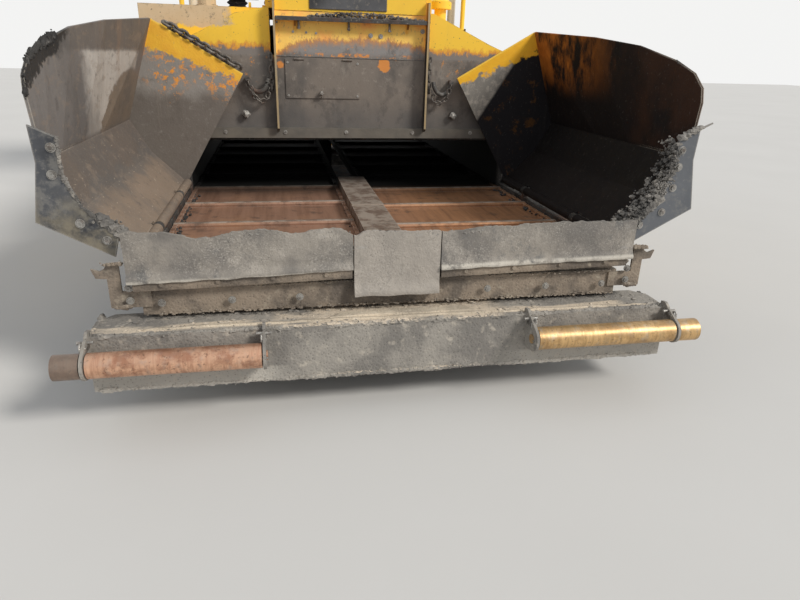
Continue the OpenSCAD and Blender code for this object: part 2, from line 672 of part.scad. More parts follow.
// Safety chains of the wings on the wall
chain_x = fin_x + 30;
chain_top = 1430;
module chains() from_beam() color(worn) both()
    for (i = [0:5]) translate([chain_x, wall_y - 20, chain_top - i * 36]) rotate([0, 90, 90 * ((i + 1) % 2)])
        translate([0, 0, -5]) linear_extrude(10) difference() {
            hull() for (e = [-1, 1]) translate([e * 12, 0]) circle(r = 13, $fn = 16);
            hull() for (e = [-1, 1]) translate([e * 12, 0]) circle(r = 6, $fn = 16);
        }

// Top of the line up which the wing's upper wall stands at a place along the machine
function wall_top(y) = let (t = (y - wing_front) / (wing_sheet_rear - wing_front))
    wall_top_front * (1 - t) + wall_top_rear * t;
function wall_at(y, z) = let (top = wall_top(y)) knee + (top - knee) * (z - knee[1]) / (top[1] - knee[1]);
// Upper wall of a wing, one ring of four corners at each point of its upper edge
module wing_wall() {
    points = [for (e = wing_edge) let (peak = wall_at(e[0], e[1]), out = normal(knee, peak) * wing_t)
        each [for (c = [knee, peak, peak + out, knee + out]) [c[0], e[0], c[1]]]];
    last = len(wing_edge) - 1;
    sides = [for (i = [0:last - 1], j = [0:3]) let (a = 4 * i + j, b = 4 * i + (j + 1) % 4)
        each [[a, b + 4, b], [a, a + 4, b + 4]]];
    polyhedron(points, concat([[0, 1, 2, 3]], sides, [[for (j = [3:-1:0]) 4 * last + j]]));
}
// Folded stiffener up the outside of a wing
rib_h = 34;
module wing_rib(y) {
    line = [wing_low[0] + [48, 48], wing_low[1], knee, wall_at(y, 1440)];
    along(y - 35, y + 35) difference() {
        polygon(concat([for (i = [0:3]) shifted(line, i, wing_t - 5)],
            [for (i = [3:-1:0]) shifted(line, i, i == 0 || i == 3 ? wing_t + 2 : wing_t + rib_h)]));
    }
}
// Folding side of the hopper
module wing() from_beam() color(worn) difference() {
    union() {
        wing_wall();
        along(wing_front, wing_sheet_rear) polygon(ribbon(concat(wing_low, [knee + [-1, 8]]), wing_t));
        // Rear plate
        along(wing_sheet_rear - 1, wing_rear) polygon(concat([[hinge_x, hinge_z]],
            [for (i = [0:3]) shifted(concat(wing_low, [wing_peak]), i, wing_t)], [wing_peak, [668, 1330]]));
        for (y = [470, 1180, 1560]) wing_rib(y);
        // Hinge tube
        translate([hinge_x, 262, hinge_z]) bar_y(knuckle_r, wing_rear - 20 - 262);
        // Ears of the cylinder's eye
        for (y = [wing_cyl_y - 46, wing_cyl_y + 30]) along(y, y + 16) difference() {
            hull() {
                translate(wing_cyl_eye) circle(r = wing_cyl_pin_r + open_gap + 14, $fn = 32);
                polygon([[1190, 812], [1230, 852], [1244, 830]]);
            }
        }
    }
    for (s = lug_starts) along(s[0] - gap, s[0] + lug_l + gap) translate([hinge_x, hinge_z]) circle(r = 36);
    translate([hinge_x, 250, hinge_z]) bar_y(hinge_pin_r + run, wing_rear - 250 - 8);
    translate([wing_cyl_eye[0], wing_cyl_y - 60, wing_cyl_eye[1]]) bar_y(wing_cyl_pin_r + open_gap, 120);
}
module wing_right() wing();
module wing_left() left() wing();

// Flange on the front edge of a wing
module wing_plate() from_beam() color(dark) along(wing_front - 12, wing_front) polygon([[1144, 676], [1414, 824],
    [1374, 1050], [1380, 1190], [1285, 1145], [1288, 1010], [1236, 880], [1120, 762]]);
module wing_plate_right() wing_plate();
module wing_plate_left() left() wing_plate();

// Cylinder that folds a wing: barrel at the frame, rod at the wing
function wing_cyl_dir() = wing_cyl_eye - wing_cyl_foot;
wing_cyl_l = norm(wing_cyl_eye - wing_cyl_foot);
wing_cyl_a = atan2(wing_cyl_dir()[0], wing_cyl_dir()[1]);
module at_wing_cyl() from_beam() translate([wing_cyl_foot[0], wing_cyl_y, wing_cyl_foot[1]]) rotate([0, wing_cyl_a, 0]) children();
module wing_barrel() at_wing_cyl() color(yellow) difference() {
    union() {
        translate([0, -25, 0]) bar_y(28, 50);
        translate([0, -60, 0]) bar_y(wing_cyl_pin_r, 120);
        cylinder(r = 22, h = 60);
        translate([0, 0, 48]) cylinder(r = 34, h = 252);
    }
    translate([0, 0, 52]) cylinder(r = 20 + run, h = 270);
}
module wing_rod() at_wing_cyl() color(chrome) {
    translate([0, 0, 60]) cylinder(r = 20, h = wing_cyl_l - 60);
    translate([0, -25, wing_cyl_l]) bar_y(26, 50);
    translate([0, -54, wing_cyl_l]) bar_y(wing_cyl_pin_r, 108);
}
module wing_barrel_right() wing_barrel();
module wing_barrel_left() left() wing_barrel();
module wing_rod_right() wing_rod();
module wing_rod_left() left() wing_rod();

// Beam that pushes the truck, turning about its middle
bracket_x = [roller_in - gap - bracket_t, roller_out + gap + 1];
module push_beam() from_beam() color(worn) {
    linear_z(beam_bottom, beam_top) polygon([[-beam_w / 2, 0], [beam_w / 2, 0], [beam_w / 2, beam_d - 70],
        [beam_w / 2 - 60, beam_d], [60 - beam_w / 2, beam_d], [-beam_w / 2, beam_d - 70]]);
    difference() {
        linear_z(250, 330) union() {
            translate([0, pivot_y]) circle(r = pivot_r + 28);
            polygon([[-90, beam_d - 1], [90, beam_d - 1], [57, pivot_y], [-57, pivot_y]]);
        }
        translate([0, pivot_y, 249]) cylinder(r = pivot_r + run, h = 82);
    }
    both() for (x = bracket_x) difference() {
        across(x, x + bracket_t) {
            translate([-roller_ahead, roller_z]) circle(r = bracket_r);
            polygon([[-roller_ahead - 20, roller_z + bracket_r - 4], [-40, beam_top + 4], [1, beam_top + 4],
                [1, beam_top - 150], [-roller_ahead, roller_z - bracket_r]]);
        }
        translate([x - 1, -roller_ahead, roller_z]) bar_x(axle_r + run, bracket_t + 2);
    }
    // Tab of each bracket on the beam's top
    both() for (x = bracket_x) across(x, x + bracket_t) polygon([[-24, beam_top - 1], [36, beam_top - 1],
        [30, beam_top + 22], [0, beam_top + 26], [-24, beam_top + 10]]);
}
// Extrude an outline given as across and along from one height to another
module linear_z(z1, z2) translate([0, 0, z1]) linear_extrude(z2 - z1) children();
module push_roller() from_beam() color(bronze) translate([0, -roller_ahead, roller_z]) {
    translate([roller_in, 0, 0]) bar_x(roller_r, roller_out - roller_in);
    translate([bracket_x[0] - 6, 0, 0]) bar_x(axle_r, bracket_x[1] + bracket_t + gap + 8 - bracket_x[0]);
    translate([bracket_x[1] + bracket_t + gap, 0, 0]) bar_x(roller_r, short_roller_l);
}
module push_roller_right() push_roller();
module push_roller_left() left() push_roller();

// Engine hood with chamfered shoulders, side louvres and a rear grille, hinged at its front edge
hood_front = wall_y + 72;
hood_rear = box_rear - 10;
hood_top = 1950;
hood_bottom = box_top + seat_gap;
hood_half = box_inner + 20;
// Hinge of the hood on the cowl: along, up
hood_hinge = [wall_y + 69, hood_top + 9];
hood_pin_r = 8;
hinge_starts = [-380, 300];
module hood_shape(t) intersection() {
    across(-hood_half + t, hood_half - t) polygon([[hood_front + t, hood_bottom - (t > 0 ? 10 : 0)],
        [hood_front + t, hood_top - t], [hood_rear - 190, hood_top - t], [hood_rear - t, hood_top - 70 - t],
        [hood_rear - t, hood_bottom - (t > 0 ? 10 : 0)]]);
    along(hood_front - 1, hood_rear + 1) polygon([[t - hood_half, hood_bottom - 11], [hood_half - t, hood_bottom - 11],
        [hood_half - t, hood_top - 90], [hood_half - 90, hood_top - t], [90 - hood_half, hood_top - t],
        [t - hood_half, hood_top - 90]]);
}
module hood() from_beam() color(yellow) {
    difference() {
        hood_shape(0);
        hood_shape(20);
        for (y = [hood_front + 180:62:hood_rear - 700])
            block([-hood_half - 1, y, hood_bottom + 40], [hood_half + 1, y + 26, hood_top - 115]);
        for (x = [-330:60:300]) block([x, hood_rear - 21, hood_bottom + 36], [x + 34, hood_rear + 1, hood_top - 110]);
    }
    // Handles and a raised rib along the top
    both() for (y = [hood_rear - 560, hood_rear - 420]) translate([hood_half - 1, y, hood_bottom + 70]) bar_x(7, 30);
    both() translate([hood_half + 24, hood_rear - 567, hood_bottom + 70]) bar_y(7, 154);
    block([-200, hood_front + 120, hood_top - 1], [200, hood_rear - 260, hood_top + 8]);
    for (x = hinge_starts) {
        translate([x, hood_hinge[0], hood_hinge[1]]) bar_x(hood_pin_r, 80);
        block([x, hood_front, hood_top - 1], [x + 80, hood_front + 40, hood_hinge[1]]);
    }
}

// Louvred side door with a folded edge, hinges and a latch, hinged at its front edge
module door(top) from_beam() color(yellow) {
    low = body_half + seat_gap;
    y1 = tank_rear + 4;
    y2 = box_rear - 14;
    difference() {
        block([low, y1, box_bottom + 4], [low + door_t, y2, top - 50]);
        block([low + door_t - 6, y1 + 40, box_bottom + 44], [low + door_t + 1, y2 - 40, top - 90]);
        for (z = [box_bottom + 80:50:top - 150]) block([low - 1, y1 + 76, z], [low + 50, y2 - 176, z + 25]);
        block([low + 10, y2 - 130, box_bottom + 150], [low + door_t + 1, y2 - 70, box_bottom + 230]);
    }
    for (z = [box_bottom + 60, top - 180]) translate([low + door_t, y1, z]) cylinder(r = 9, h = 70);
    translate([low + 10, y2 - 100, box_bottom + 190]) bar_x(8, door_t - 14);
    block([low + door_t - 10, y2 - 106, box_bottom + 165], [low + door_t - 3, y2 - 94, box_bottom + 215]);
}
module door_right() door(1400);
module door_left() left() door(box_top);

// Operator seat on its bellows pedestal
seat_x = 800;
seat_y = track_end - 150;
module seat() from_beam() color(dark) translate([seat_x, seat_y, platform_z]) {
    translate([0, 0, seat_gap]) cylinder(r = 110, h = 14);
    for (i = [0:4]) translate([0, 0, 14 + i * 50]) {
        cylinder(r1 = 78, r2 = 96, h = 25);
        translate([0, 0, 25]) cylinder(r1 = 96, r2 = 78, h = 26);
    }
    block([-210, -215, 262], [210, 215, 330]);
    across(-230, 230) polygon([[-235, 329], [-250, 372], [-236, 412], [-190, 428], [60, 410], [170, 420], [205, 380],
        [205, 329]]);
    across(-215, 215) polygon([[150, 400], [170, 520], [176, 780], [190, 890], [215, 918], [250, 915], [270, 880],
        [262, 600], [225, 380]]);
    // Head rest, arm rests and their posts
    across(-125, 125) polygon([[196, 930], [200, 1040], [216, 1062], [244, 1060], [256, 1030], [250, 930]]);
    for (x = [-70, 58]) block([x, 216, 900], [x + 12, 240, 940]);
    for (side = [-1, 1]) scale([side, 1, 1]) {
        across(222, 272) polygon([[-160, 575], [-170, 590], [-150, 612], [150, 612], [170, 595], [150, 575]]);
        across(222, 240) polygon([[90, 330], [120, 576], [170, 576], [190, 330]]);
        block([205, 90, 300], [240, 190, 345]);
    }
}
module seat_right() seat();
module seat_left() left() seat();

// Control desk that slides across the platform, with its screen, wheel and levers
desk_y = box_rear + 140;
module console() from_beam() color(dark) {
    block([-260, desk_y, platform_z + seat_gap], [260, desk_y + 200, platform_z + 40]);
    for (x = [-200, 160]) across(x, x + 40) polygon([[desk_y, platform_z + 39], [desk_y + 200, platform_z + 39],
        [desk_y + 150, platform_z + 120], [desk_y + 150, platform_z + 760], [desk_y + 20, platform_z + 760],
        [desk_y + 20, platform_z + 120]]);
    block([-161, desk_y + 60, platform_z + 300], [161, desk_y + 80, platform_z + 740]);
    intersection() {
        across(-330, 330) polygon([[desk_y - 50, platform_z + 740], [desk_y - 40, platform_z + 880],
            [desk_y - 20, platform_z + 892], [desk_y + 240, platform_z + 800], [desk_y + 250, platform_z + 780],
            [desk_y + 240, platform_z + 740]]);
        linear_z(platform_z + 700, platform_z + 900) polygon([[-330, desk_y + 20], [-290, desk_y - 50], [290, desk_y - 50],
            [330, desk_y + 20], [330, desk_y + 210], [290, desk_y + 250], [-290, desk_y + 250], [-330, desk_y + 210]]);
    }
    // Screen housing
    translate([0, desk_y, platform_z + 870]) rotate([-20, 0, 0]) block([-150, -12, 0], [150, 26, 150]);
    // Steering knob, levers and emergency stop
    translate([-215, desk_y + 150, platform_z + 790]) cylinder(r = 20, h = 60);
    translate([-215, desk_y + 150, platform_z + 848]) cylinder(r1 = 62, r2 = 54, h = 22);
    for (x = [170, 220, 270]) translate([x, desk_y + 120, platform_z + 810]) {
        cylinder(r = 6, h = 90);
        translate([0, 0, 88]) cylinder(r1 = 12, r2 = 16, h = 30);
    }
    translate([100, desk_y + 190, platform_z + 790]) cylinder(r = 22, h = 46);
}

// Fixed screed with mouldboard, ribs, vibration shaft, guides and walkway
screed_wall = 12;
screed_h = 430;
screed_rear = screed_front + screed_d;
module screed() from_beam() color(yellow) {
    block([-screed_half, screed_front, 0], [screed_half, screed_rear, 40]);
    // Mouldboard with a folded top, and the rear wall
    across(-screed_half, screed_half) polygon([[screed_front, 39], [screed_front, screed_h - 30], [screed_front + 20, screed_h],
        [screed_front + 90, screed_h], [screed_front + 90, screed_h - screed_wall], [screed_front + 30, screed_h - screed_wall],
        [screed_front + 2 * screed_wall, screed_h - 40], [screed_front + 2 * screed_wall, 39]]);
    across(-screed_half, screed_half) polygon([[screed_rear, 39], [screed_rear, screed_h], [screed_rear - 80, screed_h],
        [screed_rear - 80, screed_h - screed_wall], [screed_rear - 2 * screed_wall, screed_h - screed_wall],
        [screed_rear - 2 * screed_wall, 39]]);
    // Ribs, the ends closed and the inner ones waisted
    both() for (x = [20, 380, 740, 1100, screed_half - 20]) across(x, x + 20) polygon([[screed_front + 10, 39],
        [screed_front + 10, screed_h - 25], [screed_front + 80, screed_h - 4], [screed_front + 130, 300],
        [screed_rear - 130, 300], [screed_rear - 70, screed_h - 4], [screed_rear - 10, screed_h - 4], [screed_rear - 10, 39]]);
    // Vibration shaft with its motors' housings
    translate([-screed_half + 10, screed_front + 190, 190]) bar_x(26, 2 * screed_half - 20);
    both() translate([540, screed_front + 190, 190]) bar_x(70, 110);
    both() block([560, screed_front + 140, 39], [630, screed_front + 240, 180]);
    // Crown adjuster in the middle
    translate([-90, screed_rear - 150, 380]) bar_x(22, 180);
    translate([-26, screed_rear - 150, 380]) bar_x(38, 52);
    both() block([40, screed_rear - 170, 290], [90, screed_rear - 130, 400]);
    // Lift cylinder feet
    both() for (x = [lift_x - 62, lift_x + 42]) difference() {
        across(x, x + 20) {
            translate(lift_foot) circle(r = lift_pin_r + open_gap + 15);
            polygon([[screed_front, screed_h - 30], [lift_foot[0] + 80, screed_h - 30], [lift_foot[0] + 46, lift_foot[1]],
                [lift_foot[0] - 46, lift_foot[1]], [screed_front, screed_h]]);
        }
        translate([x - 1, lift_foot[0], lift_foot[1]]) bar_x(lift_pin_r + open_gap, 22);
    }
    both() block([lift_x - 70, screed_front, 385], [lift_x + 70, screed_front + 160, screed_h]);
    // Bushes of the extension tubes
    both() for (x = [900, ext_out - 105]) difference() {
        block([x, screed_rear - 1, tube_z - 70], [x + 80, tube_y + 70, tube_z + 70]);
        translate([x - 1, tube_y, tube_z]) bar_x(tube_r + run, 82);
    }
    // Walkway over the extensions, with a raised rear edge
    both() for (x = [300, 1100]) {
        block([x, screed_rear - 40, screed_h + 4], [x + 60, walkway_rear, 480]);
        block([x, screed_rear - 40, 400], [x + 60, screed_rear, screed_h + 5]);
    }
    block([-screed_half + 60, walkway_front, 479], [screed_half - 60, walkway_rear, 500]);
    block([-screed_half + 60, walkway_rear - 8, 440], [screed_half - 60, walkway_rear, 500]);
    block([-screed_half + 60, walkway_front, 450], [screed_half - 60, walkway_front + 8, 480]);
}

// Arms that tow the screed, with stiffened edges and the depth spindles at their rear ends
spindle_y = screed_front - 45;
module tow_arms() from_beam() color(yellow) both() {
    difference() {
        union() {
            across(tow_x, tow_x + arm_t) {
                translate([tow_y, tow_z]) circle(r = 90);
                polygon([[tow_y, tow_z + 88], [track_end + 200, tow_z + 60], [screed_front - 60, tow_z - 20],
                    [screed_front, 430], [screed_front, 90], [screed_front - 80, 90], [screed_front - 120, 330],
                    [track_end + 150, tow_z - 90], [tow_y, tow_z - 88]]);
            }
            // Strip along the outer face
            across(tow_x + arm_t - 1, tow_x + arm_t + 12) polygon([[tow_y + 160, tow_z + 30], [track_end + 150, tow_z + 10],
                [track_end + 250, tow_z - 10], [track_end + 250, tow_z - 60], [track_end + 150, tow_z - 40],
                [tow_y + 160, tow_z - 30]]);
            across(tow_x + arm_t - 1, tow_x + arm_t + 14) translate([tow_y, tow_z]) circle(r = 64);
        }
        translate([tow_x - 1, tow_y, tow_z]) bar_x(tow_pin_r + run, arm_t + 20);
    }
    // Depth spindle with its crank
    translate([tow_x + arm_t / 2, spindle_y, 420]) {
        cylinder(r = 14, h = 400);
        cylinder(r = 30, h = 150);
        translate([0, 0, 340]) cylinder(r = 24, h = 40);
        translate([0, 0, 390]) bar_y(9, 120);
        translate([0, 116, 380]) cylinder(r = 12, h = 110);
    }
}

// Sliding screed extension on its guide tube: sole, mouldboard and ribs
ext_t = 14;
module extension() from_beam() color(yellow) {
    across(60, ext_out) polygon([[ext_front, 0], [ext_front + ext_d, 0], [ext_front + ext_d, 40], [ext_front + 2 * ext_t, 40],
        [ext_front + 2 * ext_t, ext_h - 40], [ext_front + 50, ext_h - ext_t], [ext_front + 110, ext_h - ext_t],
        [ext_front + 110, ext_h], [ext_front + 20, ext_h], [ext_front, ext_h - 30]]);
    for (x = [60, 413, 766, 1119, ext_out - 16]) across(x, x + 16) polygon([[ext_front + 10, 39], [ext_front + 10, ext_h - 20],
        [ext_front + 100, ext_h - 4], [ext_front + ext_d - 10, 120], [ext_front + ext_d - 10, 39]]);
    translate([70, ext_front + 120, 150]) bar_x(24, ext_out - 80);
    translate([100, tube_y, tube_z]) bar_x(tube_r, ext_out - 101);
    block([100, tube_y - 56, 200], [130, ext_front + 60, tube_z + 50]);
    block([ext_out - 15, tube_y - 56, 20], [ext_out, ext_front + ext_d, tube_z + 56]);
}
module extension_right() extension();
module extension_left() left() extension();

// Plate that closes the screed's end, with its ski and spring tubes
gate_rear = ext_front + ext_d + 20;
module end_gate() from_beam() color(yellow) {
    across(ext_out, ext_out + 16) polygon([[screed_front - 70, 60], [screed_front - 30, 8], [gate_rear, 8],
        [gate_rear, 420], [screed_front + 180, 420], [screed_front - 70, 300]]);
    // Ski along the ground
    across(ext_out, ext_out + gate_t) polygon([[screed_front - 70, 62], [screed_front - 58, 30], [screed_front - 30, 5],
        [gate_rear, 5], [gate_rear, 24], [screed_front - 22, 24], [screed_front - 50, 62]]);
    for (y = [screed_front + 60, gate_rear - 160]) {
        translate([ext_out + 22, y, 130]) cylinder(r = 16, h = 240);
        block([ext_out + 15, y - 24, 150], [ext_out + 24, y + 24, 170]);
        block([ext_out + 15, y - 24, 330], [ext_out + 24, y + 24, 350]);
        translate([ext_out + 22, y, 23]) cylinder(r = 8, h = 110);
    }
    across(ext_out + 15, ext_out + 30) polygon([[screed_front + 180, 400], [gate_rear, 400], [gate_rear, 420],
        [screed_front + 180, 420]]);
}
module end_gate_right() end_gate();
module end_gate_left() left() end_gate();

// Cylinders that lift the screed
lift_l = norm(lift_foot - lift_top);
lift_a = atan2(lift_foot[0] - lift_top[0], lift_top[1] - lift_foot[1]);
module at_lift() from_beam() translate([lift_x, lift_top[0], lift_top[1]]) rotate([180 + lift_a, 0, 0]) children();
module lift_barrel() at_lift() color(yellow) difference() {
    union() {
        translate([-34, 0, 0]) bar_x(34, 68);
        translate([-66, 0, 0]) bar_x(lift_pin_r, 132);
        cylinder(r = 26, h = 60);
        translate([0, 0, 46]) cylinder(r = 42, h = 474);
    }
    translate([0, 0, 56]) cylinder(r = 25 + run, h = 480);
}
module lift_rod() at_lift() color(chrome) {
    translate([0, 0, 424]) cylinder(r = 25, h = lift_l - 424);
    translate([-34, 0, lift_l]) bar_x(32, 68);
    translate([-66, 0, lift_l]) bar_x(lift_pin_r, 132);
}
module lift_barrel_right() lift_barrel();
module lift_barrel_left() left() lift_barrel();
module lift_rod_right() lift_rod();
module lift_rod_left() left() lift_rod();

main_frame();
crossmember();
apron();
conveyor();
chain_cover();
rear_wall();
cowl();
side_box_left();
side_box_right();
engine_block();
exhaust();
platform();
guard_rails();
canopy();
track_frames();
track_left();
track_right();
auger_box();
chains();
wing_left();
wing_right();
wing_plate_left();
wing_plate_right();
wing_barrel_left();
wing_barrel_right();
wing_rod_left();
wing_rod_right();
push_beam();
push_roller_left();
push_roller_right();
hood();
door_left();
door_right();
seat_left();
seat_right();
console();
auger_left();
auger_right();
screed();
tow_arms();
extension_left();
extension_right();
end_gate_left();
end_gate_right();
lift_barrel_left();
lift_barrel_right();
lift_rod_left();
lift_rod_right();
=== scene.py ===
"""Looks of the asphalt paver: finishes, old asphalt, rubber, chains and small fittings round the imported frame."""
import json
import math
import random

import bmesh
import bpy
from mathutils import Matrix, Vector, noise


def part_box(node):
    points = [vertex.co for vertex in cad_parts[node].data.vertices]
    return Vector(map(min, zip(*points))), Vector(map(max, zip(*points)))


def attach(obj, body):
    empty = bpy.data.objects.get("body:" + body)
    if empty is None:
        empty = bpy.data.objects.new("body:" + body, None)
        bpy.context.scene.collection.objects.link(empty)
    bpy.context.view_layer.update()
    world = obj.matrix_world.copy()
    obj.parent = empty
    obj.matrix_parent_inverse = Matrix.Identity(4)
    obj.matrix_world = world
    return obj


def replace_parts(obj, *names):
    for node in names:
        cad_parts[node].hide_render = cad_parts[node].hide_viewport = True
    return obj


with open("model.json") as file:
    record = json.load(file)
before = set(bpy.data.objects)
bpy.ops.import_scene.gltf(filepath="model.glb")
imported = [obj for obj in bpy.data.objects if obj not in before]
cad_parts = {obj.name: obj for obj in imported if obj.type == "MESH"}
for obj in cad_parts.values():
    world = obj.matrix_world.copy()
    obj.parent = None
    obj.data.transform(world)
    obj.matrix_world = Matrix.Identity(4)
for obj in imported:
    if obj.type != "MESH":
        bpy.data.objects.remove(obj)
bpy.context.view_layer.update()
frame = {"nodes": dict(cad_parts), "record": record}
nodes = frame["nodes"]

# Lengths along the machine are given from the push beam's front face, as in the part's source
MIDDLE_Y = 3.120


def at(x, y, z):
    """Point of the row frame for a place counted rearward from the push beam's front face."""
    return Vector((x, y - MIDDLE_Y, z))


# Camera
CAMERA_PLACE = at(-0.482, -2.328, 1.463)
CAMERA_YAW = math.radians(11.467)
CAMERA_PITCH = math.radians(21.894)
CAMERA_ROLL = math.radians(1.627)
CAMERA_LENS = 27.494


def make_camera():
    forward = Vector((math.sin(CAMERA_YAW) * math.cos(CAMERA_PITCH), math.cos(CAMERA_YAW) * math.cos(CAMERA_PITCH),
                      -math.sin(CAMERA_PITCH)))
    level = Vector((math.cos(CAMERA_YAW), -math.sin(CAMERA_YAW), 0))
    upright = level.cross(forward)
    right = level * math.cos(CAMERA_ROLL) + upright * math.sin(CAMERA_ROLL)
    up = -level * math.sin(CAMERA_ROLL) + upright * math.cos(CAMERA_ROLL)
    data = bpy.data.cameras.new("camera")
    data.sensor_fit = "HORIZONTAL"
    data.sensor_width = 36
    data.lens = CAMERA_LENS
    data.clip_end = 200
    camera = bpy.data.objects.new("camera", data)
    turn = Matrix((right, up, -forward)).transposed().to_4x4()
    camera.matrix_world = Matrix.Translation(CAMERA_PLACE) @ turn
    bpy.context.scene.collection.objects.link(camera)
    bpy.context.scene.camera = camera


make_camera()


def maths(operation, turned=False):
    """Method that makes a math node; turned swaps its two values."""
    def act(self, other=0.0):
        return self.finish.calc(operation, *((other, self) if turned else (self, other)))
    return act


class Value:
    """What a node of a finish gives. Adding, multiplying and so on make a math node."""
    __add__, __sub__, __mul__, __pow__ = map(maths, ("ADD", "SUBTRACT", "MULTIPLY", "POWER"))
    __radd__, __abs__ = maths("ADD", True), maths("ABSOLUTE")

    def __init__(self, finish, socket):
        self.finish, self.socket = finish, socket


class Finish:
    """A procedural material whose nodes are made by short calls. Places are read in the row frame, in metres."""

    def __init__(self, name, roughness=0.6, metallic=0.0):
        self.material = bpy.data.materials.new(name)
        self.material.use_nodes = True
        self.tree = self.material.node_tree
        self.shader = self.tree.nodes["Principled BSDF"]
        self.shader.inputs["Roughness"].default_value = roughness
        self.shader.inputs["Metallic"].default_value = metallic
        self.place = self.read("ShaderNodeTexCoord", "Object")
        parts = self.add("ShaderNodeSeparateXYZ", Vector=self.place).outputs
        self.x, self.y, self.z = [Value(self, part) for part in parts]
        self.across = abs(self.x)

    def add(self, kind, settings=None, **inputs):
        node = self.tree.nodes.new(kind)
        for key, value in (settings or {}).items():
            setattr(node, key, value)
        for key, value in inputs.items():
            self.put(node.inputs[key.replace("_", " ")], value)
        return node

    def read(self, kind, output=0, settings=None, **inputs):
        """What a new node gives."""
        return Value(self, self.add(kind, settings, **inputs).outputs[output])

    def put(self, socket, value):
        if isinstance(value, Value):
            self.tree.links.new(value.socket, socket)
        else:
            socket.default_value = value

    def stretch(self, scale, turn=(0, 0, 0)):
        return self.read("ShaderNodeMapping", Vector=self.place, Scale=scale, Rotation=turn)

    def noise(self, scale, detail=4, rough=0.55, place=None):
        """Clouds; place may be a scale for each axis, which draws them out."""
        place = self.stretch(place) if isinstance(place, tuple) else place or self.place
        return self.read("ShaderNodeTexNoise", "Fac", Vector=place, Scale=scale, Detail=detail, Roughness=rough)

    def cells(self, scale, place=None):
        return self.read("ShaderNodeTexVoronoi", "Distance", Vector=place or self.place, Scale=scale)

    def calc(self, operation, a, b=0.0):
        node = self.add("ShaderNodeMath", {"operation": operation})
        self.put(node.inputs[0], a)
        self.put(node.inputs[1], b)
        return Value(self, node.outputs[0])

    def most(self, a, b):
        return self.calc("MAXIMUM", a, b)

    def sway(self, width, *clouds, **where):
        """Wandering number round 0, width from end to end."""
        return (self.noise(*clouds, **where) - 0.5) * width

    def step(self, value, low, high):
        """0 below low, 1 above high, smooth between them; low may be above high."""
        node = self.add("ShaderNodeMapRange", {"interpolation_type": "SMOOTHSTEP"})
        self.put(node.inputs["Value"], value)
        ends = (low, high, 0, 1) if low <= high else (high, low, 1, 0)
        for name, end in zip(("From Min", "From Max", "To Min", "To Max"), ends):
            node.inputs[name].default_value = end
        return Value(self, node.outputs["Result"])

    def spots(self, low, high, *clouds, **where):
        """Ragged patches, where the clouds rise from low to high."""
        return self.step(self.noise(*clouds, **where), low, high)

    def along(self, low, high):
        """A step along the machine, between two places counted from the push beam."""
        return self.step(self.y, row_y(low), row_y(high))

    def mix(self, fac, a, b):
        node = self.add("ShaderNodeMix", {"data_type": "RGBA"})
        self.put(node.inputs["Factor"], fac)
        for socket, value in ((node.inputs[6], a), (node.inputs[7], b)):
            self.put(socket, value if isinstance(value, Value) else (*value, 1))
        return Value(self, node.outputs[2])

    def blend(self, fac, a, b):
        """Number between a and b."""
        node = self.add("ShaderNodeMix", {"data_type": "FLOAT"})
        self.put(node.inputs["Factor"], fac)
        self.put(node.inputs[2], a)
        self.put(node.inputs[3], b)
        return Value(self, node.outputs[0])

    def edges(self, width=0.012):
        """1 on the sharp edges of a piece, 0 on its flat faces."""
        node = self.add("ShaderNodeVectorMath", {"operation": "DOT_PRODUCT"})
        self.put(node.inputs[0], self.read("ShaderNodeBevel", 0, {"samples": 4}, Radius=width))
        self.put(node.inputs[1], self.read("ShaderNodeNewGeometry", "Normal"))
        return self.step(Value(self, node.outputs["Value"]), 0.995, 0.9)

    def facing_up(self):
        """1 where a face looks straight up."""
        return self.read("ShaderNodeSeparateXYZ", 2, Vector=self.read("ShaderNodeTexCoord", "Normal"))

    def lay(self, colour, *amounts):
        """Spread a colour over the running tone, by the product of the amounts."""
        self.tone = self.mix(math.prod(amounts[1:], start=amounts[0]), self.tone, colour)

    def rough(self, value):
        self.put(self.shader.inputs["Roughness"], value)

    def metal(self, value):
        self.put(self.shader.inputs["Metallic"], value)

    def bump(self, height, distance=0.002, strength=1.0, under=None):
        below = {} if under is None else {"Normal": under}
        node = self.read("ShaderNodeBump", Height=height, Distance=distance, Strength=strength, **below)
        self.put(self.shader.inputs["Normal"], node)
        return node

    def dull(self):
        """Hardly any sheen, for surfaces in the dark of the machine."""
        self.shader.inputs["Specular IOR Level"].default_value = 0.15

    def paint(self, colour, stain, runs):
        """Machine paint with orange stains and grey runs."""
        self.tone = self.mix(self.spots(0.45, 0.75, 2.2, 7) * stain, colour, shade(ORANGE, 0.72))
        self.lay(GREY, self.spots(0.55, 0.78, 9.0, 5, place=(1, 1, 0.12)), runs)

    def made(self):
        """The material, once its tone is joined on."""
        self.put(self.shader.inputs["Base Color"], self.tone)
        return self.material


# Colours as they render, in linear light
YELLOW = (0.93, 0.58, 0.042)
ORANGE = (0.66, 0.26, 0.035)
DUST = (0.38, 0.34, 0.28)
TAR = (0.024, 0.023, 0.022)
GREY = (0.135, 0.127, 0.118)
BROWN = (0.115, 0.085, 0.062)
RUST = (0.26, 0.085, 0.026)
SLAT = (0.33, 0.192, 0.132)
# Near black, painted shade in the tunnel where the conveyors run in under the wall
TUNNEL_SHADE = (0.002, 0.002, 0.002)


def row_y(y):
    return y - MIDDLE_Y


def shade(colour, by):
    return tuple(by * c for c in colour)


